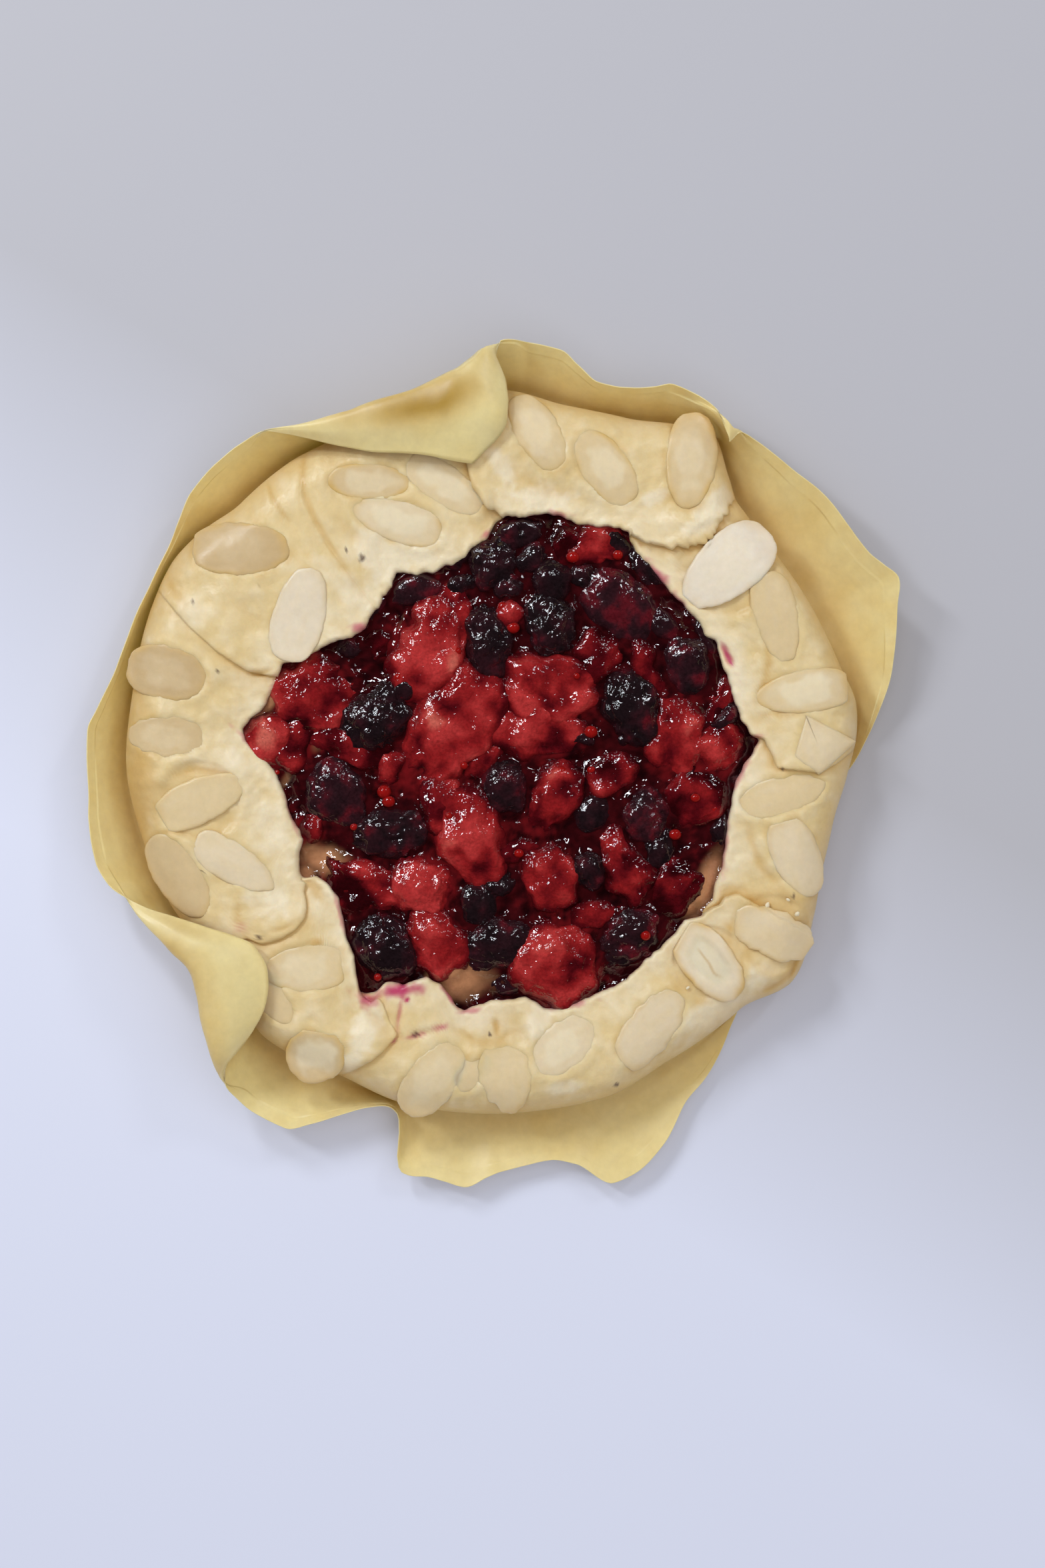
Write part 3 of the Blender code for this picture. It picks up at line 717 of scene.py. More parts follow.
# Dark specks in the dough: x, y, half size
SPECKS = (
    (-34, 51, 0.9), (-38.2, 53.2, 0.5), (-61.5, 44, 0.4), (-72.6, 21.2, 0.5), (80.5, -38.8, 0.5),
    (33.5, -89, 0.6), (-0.1, -75.5, 0.5), (77.5, -5, 0.35), (-61.3, -49.6, 0.6), (-79, 39.5, 0.4),
    (-76.5, -32.2, 0.4), (-19.8, -75.4, 0.8), (-30.5, -92.6, 0.4), (66, 58, 0.4),
)  # fmt: skip


@dataclass(frozen=True)
class Flake:
    """A flaked almond: its place, long axis, length and width, and how its ends broke."""

    x: float
    y: float
    degrees: float
    length: float
    width: float
    breaks: Knots = ()  # straight breaks: degrees, and mm from the middle
    taper: float = 0.16  # how much narrower it is towards its tip
    gold: float = 0.6  # how golden the line round it is, partly egg wash and partly painted shade
    sink: float = 0.6  # how far it is pressed in, mm
    pale: float = 0.0  # 1 for nearly white, -1 for golden
    heart: float = 0.3  # how much paler its middle is than its margin
    ragged: float = 0.2  # how uneven its outline is, mm
    blunt: float = 0.88  # under 1, its ends are blunter than an ellipse's
    hollow: float = 0.0  # how far its middle is sunk, mm

    def outline(self, turn: Array) -> Array:
        """Its outline: an ellipse narrowed and pointed towards the tip, drawn back to its breaks.

        Args:
            turn: Angles round it in radians.

        Returns:
            The distances along and across, as two rows.
        """
        along = np.cos(turn)
        pointed = self.blunt + 0.9 * self.taper * along
        side = np.sin(turn)
        across = np.sign(side) * np.abs(side) ** pointed * (1 - self.taper * along)
        rim = np.stack([self.length / 2 * along, self.width / 2 * across])
        place = xyz(rim[0] + self.x, rim[1] + self.y, 0)
        rim = rim * (1 + self.ragged * waves(place, 3.0, 5, 2) / np.hypot(*rim))
        for heading, reach in self.breaks:
            normal = np.array([math.cos(math.radians(heading)), math.sin(math.radians(heading))])
            rim = rim - normal[:, None] * np.maximum(normal @ rim - reach, 0)
        return rim

    def outside(self, x: Array, y: Array) -> Array:
        """How far points lie outside its outline, less than zero inside.

        The outline is read as a distance from the middle at each direction, and a point's own
        distance is taken from that.

        Args:
            x: Places in mm.
            y: Places in mm.

        Returns:
            Distances in mm.
        """
        along, across = turned(x, y, (self.x, self.y), self.degrees)
        rim = self.outline(np.linspace(-math.pi, math.pi, 181))
        bearing = np.unwrap(np.arctan2(rim[1], rim[0]))
        reach = np.interp(np.arctan2(across, along), bearing, np.hypot(*rim))
        return np.hypot(along, across) - reach


FLAKES = tuple(Flake(*row) for row in (
    (-66.6, 53.4, -2, 27, 14.2, ((178, 12.6), (200, 12.4)), 0.04, 0.8, 0.6, -0.85, 0.15, 0.4, 0.76),
    (-50.5, 36.4, 75, 26.5, 14, ((20, 11.6), (-8, 12.2)), 0.16, 0.3, 0.3, 0.7, 0, 0.3),
    (-32.1, 71.2, -2, 22.2, 9.9, ((-20, 10.6),), 0.02, 1, 0.7, -0.35, 0.6),
    (-24.8, 60.9, -17, 25, 11.2, (), -0.14, 0.8, 0.7, 0.3, 1),
    (-12.2, 70.5, -35, 24, 11, (), 0.1, 0.3, 0.8, 0.1, 0.9),
    (-86, 20.6, -12, 22.5, 14.5, (), 0.06, 0.6, 0.7, -0.9, 0.25, 0.4, 0.78),
    (-86.2, 3.8, -4, 21, 11, (), -0.1, 0.25, 0.9, -0.5, 0.3, 0.5),
    (-77, -13.4, 24, 26, 12, ((185, 11.4),), 0.12, 0.4, 0.6, 0, 0.1, 0.3),
    (-83, -33.5, -56, 25.4, 13, (), 0.06, 0.5, 0.7, -0.45, 0, 0.3),
    (-67.8, -30.2, -31, 24.6, 10.8, (), 0.22, 0.4, 0.5, 0.4, 0.1, 0.5),
    (-49.4, -58, 4, 23, 12.6, ((2, 10.4),), -0.16, 0.7, 0.7, 0.05, 0.6, 0.3),
    (-58.5, -65, -52, 19, 9, (), 0.15, 0.5, 0.8, -0.15, 0),
    (-46.4, -81, 30, 16.4, 15.4, ((52, 6.6),), 0, 1, 0.6, -0.3, 1, 0.4),
    (-15.3, -87.4, 52, 24, 13.5, ((6, 11.2),), 0.04, 0.5, 0.7, 0.05, 0.5, 0.5),
    (-4.9, -85.5, 40, 12, 8, (), 0.16, 0.3, 0.9, -0.1, 0.1, 0.5),
    (4.2, -86.6, -80, 19.8, 14, ((176, 8.2), (148, 8)), 0.14, 0.6, 0.5, 0.05, 0.1, 0.8),
    (19.6, -78.2, 40, 20, 13, (), 0.05, 0.3, 0.9, 0.3, 0.9, 0.5),
    (42.2, -74.2, 52, 26, 12.8, ((180, 11.4), (150, 10.4)), 0, 0.6, 0.6, 0.35, 0, 0.5),
    (57.9, -56.2, -50, 24.6, 14, ((200, 9.6),), 0.04, 0.9, 0.2, 0.55, 0.6, 0.4, 0.88, 0.7),
    (75.2, -48.6, -22, 24, 12.8, ((-14, 10.8), (200, 10.4)), -0.02, 0.6, 0.4, 0.2, 0, 0.9),
    (81.4, -28.2, -64, 23, 13.2, ((170, 10.2),), 0.08, 0.6, 0.5, 0.35, 0.1, 0.4),
    (77.5, -11.9, 15, 24, 10.6, (), 0.1, 0.3, 0.9, 0, 0.1, 0.5),
    (83.4, 15.6, 8, 26.5, 11.6, ((0, 12), (-12, 11.8)), -0.14, 0.7, 0.5, 0.1, 1, 0.2),
    (86.6, 1.6, -70, 23, 22, ((233, 5), (305, 6.4), (21, 6.6), (133, 5.7)),
          0, 0.5, 0.5, 0.25, 0.3, 0.5),
    (76, 35, -77, 25.4, 12, ((4, 11.8),), 0.22, 0.4, 0.6, -0.1, 0, 0.4),
    (63, 48.8, 41, 29.5, 16.8, ((188, 13.6),), -0.16, 0.3, 0.1, 1, 0.3, 0.3),
    (53.4, 77.2, 84, 26.4, 13.8, (), -0.08, 0.9, 0.5, -0.3, 0.5, 0.3),
    (30.7, 74.9, -55, 23, 13, (), 0, 0.9, 0.7, -0.15, 0.7, 0.3),
    (12.5, 84.4, -60, 23, 12.2, (), 0, 0.8, 0.7, -0.1, 0.6, 0.3),
))  # fmt: skip


@dataclass
class Rim:
    """The dough's rim as numbers: where it starts and ends, its seams, and how high it stands."""

    flaps: tuple[Flap, ...] = FLAPS
    lip_round: float = 1.6  # mm over which the lip rounds
    lip_drop: float = 1.3  # mm that it drops there
    side_round: float = 10.5  # mm over which the top rounds down to the side
    lift_reach: float = 17.0  # mm that the lift of a flap's edge runs back into the flap
    groove_reach: float = 7.0  # mm that the dip beside it runs into the flap below
    crack: float = 1.3  # mm that the narrow dip right beside it runs
    edge_round: float = 1.7  # mm over which the edge of the flap on top rounds down
    edge_hold: float = 2.6  # mm in from the outside where what lies on the rim stops bending down
    lip_hold: float = 1.0  # mm out from the opening where it does the same
    samples: int = 7200  # readings of the torn edge round the circle
    bell: float = 8.0  # readings over which the torn edge's corners are rounded
    bell_reach: int = 20

    def __post_init__(self) -> None:
        """Works out the outside and the torn edge of the opening, all the way round."""
        self.outside = ClosedCurve(tuple(knot for flap in self.flaps for knot in flap.side))
        self.seams = [np.array(flap.seam, float) for flap in self.flaps]
        self.steps = [np.array(flap.step, float) for flap in self.flaps]
        self.torn = self.torn_edge()

    def torn_edge(self) -> Array:
        """The opening's radius at evenly spaced degrees.

        Straight lines join the edge's points, a short bell-shaped average rounds their corners,
        and two sizes of noise tear it as far as each flap says.

        Returns:
            Radii in mm.
        """
        corners = np.array([point for flap in self.flaps for point in flap.edge])
        tears = np.array([flap.torn for flap in self.flaps for _ in flap.edge])
        bearing = np.degrees(np.arctan2(corners[:, 1], corners[:, 0])) % 360
        order = np.argsort(bearing)
        place = np.arange(self.samples) * 360 / self.samples
        radius = np.interp(place, bearing[order], np.hypot(*corners[order].T), period=360)
        torn = np.interp(place, bearing[order], tears[order], period=360)
        reach = self.bell_reach
        bell = np.exp(-((np.arange(-reach, reach + 1) / self.bell) ** 2))
        long = np.concatenate([radius[-reach:], radius, radius[:reach]])
        radius = np.convolve(long, bell / bell.sum(), mode="valid")
        spots = polar(radius, place, 0)
        return radius + torn * (1.1 * waves(spots, 3.2, 3) + 0.55 * waves(spots, 1.6, 4))

    def opening(self, degrees: Array) -> Array:
        """The opening's radius at any angles, in mm."""
        return np.interp(np.mod(degrees, 360) * self.samples / 360, np.arange(self.samples), self.torn)

    def seam(self, index: int, share: Array) -> Array:
        """Where the seam before a flap runs, with its fraying.

        Args:
            index: The flap's number.
            share: Shares of the way out across the rim.

        Returns:
            Degrees at each.
        """
        plain = np.interp(share, self.seams[index][:, 0], self.seams[index][:, 1])
        return plain + self.flaps[index].frayed * waves(xyz(share * 36, 9 * index, 0), 2.2, 6, 2)

    def step(self, index: int, share: Array) -> Array:
        """Height of the step at the seam before a flap, in mm, at shares of the way out."""
        return np.interp(share, self.steps[index][:, 0], self.steps[index][:, 1])

    def seams_beside(self, flap: int) -> tuple[tuple[int, int], tuple[int, int]]:
        """The seams before and after a flap, each with 1 or -1 for the way into the flap."""
        return (flap, 1), ((flap + 1) % len(self.flaps), -1)

    def flap_at(self, degrees: Array, share: Array) -> Array:
        """Which flap shows at points of the rim: the one whose seams lie on either side.

        Args:
            degrees: Where the points are round the rim.
            share: How far out they are.

        Returns:
            The flaps' numbers.
        """
        found = np.zeros(np.shape(degrees), int)
        for index in range(len(self.flaps)):
            start = self.seam(index, share)
            width = np.mod(self.seam((index + 1) % len(self.flaps), share) - start, 360)
            found = np.where(np.mod(degrees - start, 360) < width, index, found)
        return found

    def overlap(
        self, degrees: Array, radius: Array, share: Array, flap: Array
    ) -> tuple[Array, Array]:
        """The relief beside the seams, and how golden it is there, partly as painted shade.

        On the flap on top the dough is lifted, less with distance, and its last bit rounds down.
        On the flap below it dips, most of all right beside the seam.

        Args:
            degrees: Where the points are round the rim.
            radius: Their radius.
            share: How far out across the rim they are.
            flap: The flap that each belongs to.

        Returns:
            The change of height in mm, and the golden tone from 0 to 1, partly painted shade.
        """
        relief, gold = np.zeros_like(radius), np.zeros_like(radius)
        for index in range(len(self.flaps)):
            mine = flap == index
            for seam, ahead in self.seams_beside(index):
                step = self.step(seam, share) * ahead
                apart = np.mod(ahead * (degrees - self.seam(seam, share)) + 180, 360) - 180
                gap = np.maximum(np.radians(apart) * radius, 0)
                size = np.abs(step) * (0.6 + 0.4 * (1 - share))
                edge = 1 - np.clip(gap / self.edge_round, 0, 1)
                on_top = 0.75 * size * np.exp(-gap / self.lift_reach)
                on_top -= 0.55 * size * (1 - np.sqrt(1 - edge**2))
                below = -0.35 * size * np.exp(-gap / self.groove_reach)
                below -= 0.16 * size * np.exp(-gap / self.crack)
                relief += np.where(mine, np.where(step < 0, on_top, below), 0)
                # Painted shade with some egg wash: golden beside each seam, most on the flap that lies
                # below the edge of the one on top.
                strong = np.clip(size / 1.8, 0, 1)
                shade = np.where(step < 0, 0.35 * np.exp(-gap / 1.0), 0.9 * np.exp(-gap / 2.0))
                gold += np.where(mine, strong * shade, 0)
        return relief, gold

    def height(
        self, degrees: Array, radius: Array, flap: Array
    ) -> tuple[Array, Array]:
        """Height of the rim's top without its creases, and how golden its seams are.

        It climbs from the lip to a crest, swells gently in three and in seven waves round the
        rim, takes the relief of its seams, rounds down at the lip, and rounds down to the side as
        a quarter of an ellipse.

        Args:
            degrees: Where the points are round the rim.
            radius: Their radius in mm.
            flap: The flap that each belongs to.

        Returns:
            The height in mm, and the golden tone from 0 to 1, partly painted shade.
        """
        inner, outer = self.opening(degrees), self.outside(degrees)
        share = np.clip((radius - inner) / (outer - inner), 0, 1)
        turn = np.radians(degrees)
        top = LIP_TOP + (CREST_TOP - LIP_TOP) * fade(0.05, 0.55, share)
        top = top + 0.5 * np.sin(3 * turn + 0.9) + 0.4 * np.sin(7 * turn + 2.1 + 3 * share)
        relief, gold = self.overlap(degrees, radius, share, flap)
        top = top + relief + 0.75 * waves(polar(radius, degrees, 0), 13, 1, 2)
        lip = np.clip((radius - inner) / self.lip_round, 0, 1)
        top = top - self.lip_drop * (1 - np.sqrt(1 - (1 - lip) ** 2))
        side = np.clip((outer - radius) / self.side_round, 0, 1)
        return SIDE_WIDEST + (top - SIDE_WIDEST) * np.sqrt(1 - (1 - side) ** 2), gold

    def floor(self, x: Array, y: Array) -> Array:
        """Height of the dough at places on or beside the rim, which take the nearest dough.

        Args:
            x: Places in mm.
            y: Places in mm.

        Returns:
            Heights in mm.
        """
        radius, degrees = np.hypot(x, y), np.degrees(np.arctan2(y, x))
        inner, outer = self.opening(degrees), self.outside(degrees)
        held = outer - np.hypot(np.maximum(outer - radius, 0), self.edge_hold)
        held = np.maximum(held, inner + self.lip_hold)
        share = (held - inner) / (outer - inner)
        return self.height(degrees, held, self.flap_at(degrees, share))[0]


@dataclass
class Dough:
    """The dough: a thin round base, and a folded rim whose lip hangs over the filling."""

    rim: Rim
    columns: int = 1080
    overhang: float = 0.25  # mm that a flap's edge stands out over the one below
    base_thick: float = 3.0
    foot_inset: float = 3.6  # mm in from the outside where the side stands on its foot
    under_inset: float = 3.2  # mm in from the outside; the underside's inner ring lies at
    under_share: float = 0.6  # this share of what is left
    lip_under: float = 14.9  # height of the lip's underside
    lip_face: Knots = ((-0.12, 0.7), (-0.05, 1.7))  # mm outwards and down from the lip's top
    lip_foot: tuple[float, float] = (0.5, 15.2)  # mm outwards, and height, of its lower edge
    lip_overhang: float = 4.0
    side_rings: int = 7
    top_rings: int = 64
    first_top: float = 0.06  # share of the half turn at which the top's rings start

    CREAM = srgb(226, 200, 147)
    # The white is painted light on the lip and on swells, and also the own pale tone of some areas and of
    # the crumbs.
    WHITE = srgb(237, 220, 187)
    # The gold and the brown lie in grooves, beside seams, round almonds and down the side: partly egg
    # wash gathered there, partly painted shade.
    GOLD_AND_SHADE = srgb(208, 166, 94)
    BROWN = srgb(184, 136, 68)
    JUICE = srgb(190, 40, 96)
    SOAKED = srgb(88, 10, 24)
    DARK = srgb(88, 58, 48)

    def column_turns(self, share: float) -> tuple[Array, Array]:
        """Degrees and flap of every column at a share of the way out.

        Within a flap they are evenly spaced from seam to seam. A flap that lies below starts
        under the edge of the one on top, so each seam is a real fold, which closes at the side.

        Args:
            share: How far out across the rim.

        Returns:
            Degrees, and the flaps' numbers.
        """
        rim, out, halfway = self.rim, np.array(share), np.array(0.5)
        turns, owners = [], []
        for index in range(len(rim.flaps)):
            ends, middles = [], []
            for seam, ahead in rim.seams_beside(index):
                step = float(rim.step(seam, out)) * ahead
                under = self.overhang * min(max(step - 0.3, 0) / 2, 1) * min(5 * (1 - share), 1)
                tuck = math.degrees(under / 80) if step > 0 else -0.02
                ends.append(float(rim.seam(seam, out)) - ahead * tuck)
                middles.append(float(rim.seam(seam, halfway)))
            width = (ends[1] - ends[0]) % 360
            number = round(self.columns * ((middles[1] - middles[0]) % 360) / 360)
            turns.append(ends[0] + width * np.linspace(0, 1, number))
            owners.append(np.full(number, index))
        return np.concatenate(turns), np.concatenate(owners)

    def build(self) -> bpy.types.Object:
        """Builds the dough from its underside, up its side, across the rim and under the lip.

        Returns:
            The piece.
        """
        degrees, _ = self.column_turns(1.0)
        outer = self.rim.outside(degrees)
        under = (outer - self.under_inset) * self.under_share
        rings = [polar(under, degrees, DOUGH_BOTTOM, 0.3, 1.3)]
        for part in np.linspace(0, 1, self.side_rings, endpoint=False):
            out = math.sin(part * math.pi / 2)
            up = 1 - math.cos(part * math.pi / 2)
            level = DOUGH_BOTTOM + (SIDE_WIDEST - DOUGH_BOTTOM) * up
            radius = outer - self.foot_inset * (1 - out)
            rings.append(polar(radius, degrees, level, 0.4, 1.2 - 0.2 * part))
        for part in np.linspace(0, 1, self.top_rings):
            turn = math.pi * (self.first_top + (1 - self.first_top) * part)
            share = max(0.5 + 0.5 * math.cos(turn), 0.0)
            degrees, flap = self.column_turns(share)
            inner = self.rim.opening(degrees)
            radius = inner + share * (self.rim.outside(degrees) - inner)
            level, gold = self.rim.height(degrees, radius, flap)
            rings.append(polar(radius, degrees, level, gold, share))
        degrees, _ = self.column_turns(0.0)
        inner = self.rim.opening(degrees)
        lip = rings[-1][:, 2]
        base = DOUGH_BOTTOM + self.base_thick
        turn_in = [(out, lip - down) for out, down in self.lip_face]
        turn_in += [self.lip_foot, (self.lip_overhang, self.lip_under), (self.lip_overhang, base)]
        rings += [polar(inner + out, degrees, level, 0, 0) for out, level in turn_in]
        laid_rings = np.stack(rings)
        ends = np.array([0, 0, DOUGH_BOTTOM]), np.array([0, 0, base])
        solid = capped(laid_rings[..., :3], *ends)
        self.dress(solid, laid_rings[..., 3], laid_rings[..., 4])
        piece = make_piece("dough", solid, PASTRY)
        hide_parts("crust")
        return piece

    def dress(self, solid: Solid, golds: Array, shares: Array) -> None:
        """Presses the creases and almonds into the top, and colours the whole.

        Args:
            solid: The dough, changed here.
            golds: How golden its seams make each point, partly painted shade, by ring and column.
            shares: How far out across the rim each is: 1 at the outside, more down the side.
        """
        rows, columns = golds.shape
        grid = solid.points[: rows * columns].reshape(rows, columns, 3)
        place = grid.reshape(-1, 3) * [1, 1, 0]
        fine, gold = waves(place, 4.5, 31, 3), golds.flatten()
        rise = self.pressed(place, gold) + (0.30 * fine + 0.10 * waves(place, 1.9, 32))
        last_top = self.side_rings + self.top_rings
        ring = np.arange(rows)[:, None]
        on_top = (ring > self.side_rings) & (ring <= last_top)
        rise = rise.reshape(rows, columns) * (np.clip((1 - shares) * 12, 0, 1) * on_top)
        grid[..., 2] += rise
        tone = self.tone_and_painted_light(place, shares.ravel(), rise.ravel(), gold, fine)
        past_lip = np.clip(ring - last_top, 0, 3) + np.zeros((1, columns))
        solid.tint[: rows * columns] = self.stained(tone, place, past_lip.ravel())
        solid.tint[rows * columns :] = self.CREAM

    def pressed(self, place: Array, gold: Array) -> Array:
        """How far creases and almonds raise or lower the top.

        A crease is a bell across its line that fades at both ends. Under an almond the dough is
        pressed down, and round it there is a low swelling and a golden line. The gold of creases and
        of these lines is partly egg wash and partly painted shade.

        Args:
            place: Points of the dough, at no height.
            gold: How golden each is, partly painted shade, added to here.

        Returns:
            The change of height in mm.
        """
        x, y = place[:, 0], place[:, 1]
        rise = np.zeros_like(x)
        for crease in CREASES:
            gap, along = path_place(x, y, crease.path)
            ends = np.sqrt(np.sin(math.pi * np.clip(along, 0.03, 0.97)))
            bell = np.exp(-((gap / crease.width) ** 2)) * ends
            rise -= crease.depth * bell
            # Gold in a crease's groove is partly painted shade; below zero it is painted light on a
            # ridge.
            gold += crease.gold * bell
        uneven = 0.55 + 0.9 * waves(place, 6.0, 21)
        for flake in FLAKES:
            gap = flake.outside(x, y)
            near = np.abs(gap) < 6
            # Painted shade with some egg wash: a golden line and glow round each almond.
            line = np.exp(-(((gap - 0.2) / 1.1) ** 2)) * near
            swell = np.exp(-(((gap - 0.9) / 1.5) ** 2)) * near
            rise += (0.10 + 0.35 * flake.sink) * swell - 0.55 * fade(-0.3, -1.6, gap)
            gold += flake.gold * uneven * (0.50 * line + 0.22 * np.exp(-np.maximum(gap, 0) / 2.4) * near)
        return rise

    def tone_and_painted_light(
        self,
        place: Array,
        share: Array,
        rise: Array,
        gold: Array,
        fine: Array,
    ) -> Array:
        """The dough's colour, with painted light and shade laid into it.

        It is cream, whiter on the lip and where it swells as painted light, and golden in grooves,
        round almonds and down the side, partly egg wash and partly painted shade.

        Args:
            place: Points of the dough, at no height.
            share: How far out each is across the rim.
            rise: How far each is raised, in mm.
            gold: How golden the seams and creases make it, partly painted shade, added to here.
            fine: Fine noise about zero.

        Returns:
            A row of colour for each point.
        """
        x, y = place[:, 0], place[:, 1]
        broad, ragged = waves(place, 11.0, 41, 3), 1 + 0.35 * waves(place, 3.5, 44, 2)
        # Painted light: whiter on the lip and where the fine noise raises the top; broad is its own
        # uneven tone.
        white = 0.06 + 0.55 * fade(0.42, 0.0, share) + 0.30 * broad + 0.25 * fine
        # Painted shade: golden down the side and where the top lies low, with some egg wash.
        gold += 0.45 * fade(0.72, 1.0, share) + 0.08 * fade(0.1, 0.9, -broad) - 0.30 * rise
        # The areas add the dough's own golden and white tones, and painted light and shade.
        for area in AREAS:
            far = area.far(x, y) * ragged
            gold += max(area.strength, 0) * fade(1.5, 0.2, far)
            white += max(-area.strength, 0) * 1.2 * fade(1.4, 0.5, far)
        tone = blend(self.CREAM, self.WHITE, white)
        tone = blend(tone, self.GOLD_AND_SHADE, 0.85 * np.clip(gold, 0, 1))
        return blend(tone, self.BROWN, 0.6 * np.clip(gold - 0.9, 0, 1))

    def stained(self, tone: Array, place: Array, past_lip: Array) -> Array:
        """The dough's colour once juice has run on it and soaked its lip from below.

        Args:
            tone: Its own colour.
            place: Points of the dough, at no height.
            past_lip: How many rings past the top each lies, up to 3.

        Returns:
            A row of colour for each point.
        """
        x, y = place[:, 0], place[:, 1]
        ragged, pink = 1 + 0.5 * waves(place, 2.8, 51, 2), np.zeros_like(x)
        for stain in STAINS:
            pink = np.maximum(pink, stain.strength * fade(1.5, 0.2, stain.far(x, y) * ragged))
        tone = blend(tone, self.JUICE, pink)
        tone = blend(tone, self.JUICE, past_lip * (0.38 + 0.40 * waves(place, 9.0, 55, 2)))
        tone = blend(tone, self.SOAKED, 0.9 * (past_lip - 1))
        uneven = 1 + 0.6 * waves(place, 0.8, 61)
        for speck_x, speck_y, size in SPECKS:
            far = np.hypot(x - speck_x, y - speck_y) / size * uneven
            tone = blend(tone, self.DARK, 0.85 * fade(1.3, 0.5, far))
        return tone


@dataclass
class AlmondFlakes:
    """The flaked almonds on the rim: thin plates with rounded edges that bend with the dough."""

    rim: Rim
    columns: int = 64
    thick: float = 1.0
    follows: float = 0.5  # share of the dough's finer shape that a flake bends to
    edge_round: float = 1.0
    edge_rings: int = 6
    top_rings: int = 15

    MIDDLE = srgb(224, 199, 154)
    HEART = srgb(236, 219, 186)
    PALE = srgb(235, 220, 199)
    GOLDEN = srgb(200, 170, 124)
    EDGE = srgb(214, 176, 106)
    SLIT = srgb(208, 178, 132)

    def floor_under(self, spots: Array, along: Array, across: Array) -> Array:
        """The dough under a flake as it bends to it: the best plain curve, and part of the rest.

        The plain curve is the nearest one that is flat, bent or twisted, with no further waves.

        Args:
            spots: Where the flake's points lie.
            along: Their distances along it.
            across: Their distances across it.

        Returns:
            Heights in mm.
        """
        floor = self.rim.floor(spots[..., 0], spots[..., 1])
        a, b = along.ravel(), across.ravel()
        terms = np.stack([a, b, np.ones(a.size), a * a, a * b, b * b], axis=1)
        shares = np.linalg.lstsq(terms, floor.ravel(), rcond=None)[0]
        plain = (terms @ shares).reshape(along.shape)
        return plain + self.follows * (floor - plain)

    def profile(self, rim: Array) -> tuple[Array, Array]:
        """Rings from the middle of a flake's underside round its edge to the middle on top.

        The edge is a half circle across the thickness.

        Args:
            rim: The flake's outline, along and across.

        Returns:
            Each ring's share of the way out at each column, and its share of the way up.
        """
        inward = self.edge_round / np.hypot(*rim)
        whole = np.ones(self.columns)
        shares = [0.4 * whole, (1 - 1.2 * inward.mean()) * whole]
        levels = [0.0, 0.0]
        for angle in np.radians(np.linspace(-60, 90, self.edge_rings)):
            shares.append(1 - inward * (1 - math.cos(angle)))
            levels.append(0.5 + 0.5 * math.sin(angle))
        for part in np.linspace(1, 0.05, self.top_rings + 1)[1:]:
            shares.append((1 - inward) * part)
            levels.append(1.0)
        return np.stack(shares), np.array(levels)[:, None]

    def flake_solid(self, flake: Flake, number: int) -> Solid:
        """One flake. On top its middle swells a little, or sinks where it is hollow.

        Args:
            flake: The flake.
            number: Its place in the list, which sets its own unevenness.

        Returns:
            The surface with its colours.
        """
        rim = flake.outline(np.arange(self.columns) * 2 * math.pi / self.columns)
        share, level = self.profile(rim)
        along, across = share * rim[0], share * rim[1]
        flat = xyz(along, across, 0)
        spots = laid(flat, flake.x, flake.y, 0.0, flake.degrees)
        place = flat + [flake.x, flake.y, 7.0 * number]
        dip = 0.25 * fade(0.95, 0.1, share) - flake.hollow * fade(0.72, 0.45, share)
        warp = 0.10 * waves(place, 6.0, 71, 2)
        height = self.floor_under(spots, along, across) - flake.sink + level * self.thick
        spots[..., 2] = height + (level > 0.95) * (dip + 0.4 * warp) + warp
        return closed(spots, self.tone(flake, place, across, share))

    def tone(
        self, flake: Flake, place: Array, across: Array, share: Array
    ) -> Array:
        """A flake's colour: grained along it, with a paler heart and a golden edge.

        Args:
            flake: The flake.
            place: Its points for the noise to read.
            across: How far across it each lies, in mm.
            share: How far out each lies.

        Returns:
            A row of colour for each point.
        """
        grain = waves(place * [0.35, 1, 1], 2.2, 81, 2)
        tone = blend(self.MIDDLE, self.PALE, max(flake.pale, 0) + 0.14 * grain)
        tone = blend(tone, self.GOLDEN, max(-flake.pale, 0) + 0.10 * grain)
        heart = fade(0.72, 0.45, share + 0.22 * waves(place, 5.0, 91, 2))
        tone = blend(tone, self.HEART, 0.75 * flake.heart * heart)
        edge = fade(0.74, 1.0, share + 0.05 * grain) * (0.6 + 0.9 * waves(place, 6.0, 92))
        tone = blend(tone, self.EDGE, 0.9 * flake.gold * edge)
        if flake.hollow:
            slit = fade(0.6, 0.1, np.abs(across + 0.8 * waves(place, 4.0, 93)))
            tone = blend(tone, self.SLIT, 0.7 * slit * fade(0.52, 0.3, share))
        return tone

    def build(self) -> bpy.types.Object:
        """Builds all the flakes as one piece.

        Returns:
            The piece.
        """
        solids = [self.flake_solid(flake, number) for number, flake in enumerate(FLAKES)]
        piece = make_piece("almond_flakes", heaped(solids), NUT)
        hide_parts(*(f"almond_{number:02d}" for number in range(1, len(FLAKES) + 1)))
        return piece


# -------- the compote and its fruit


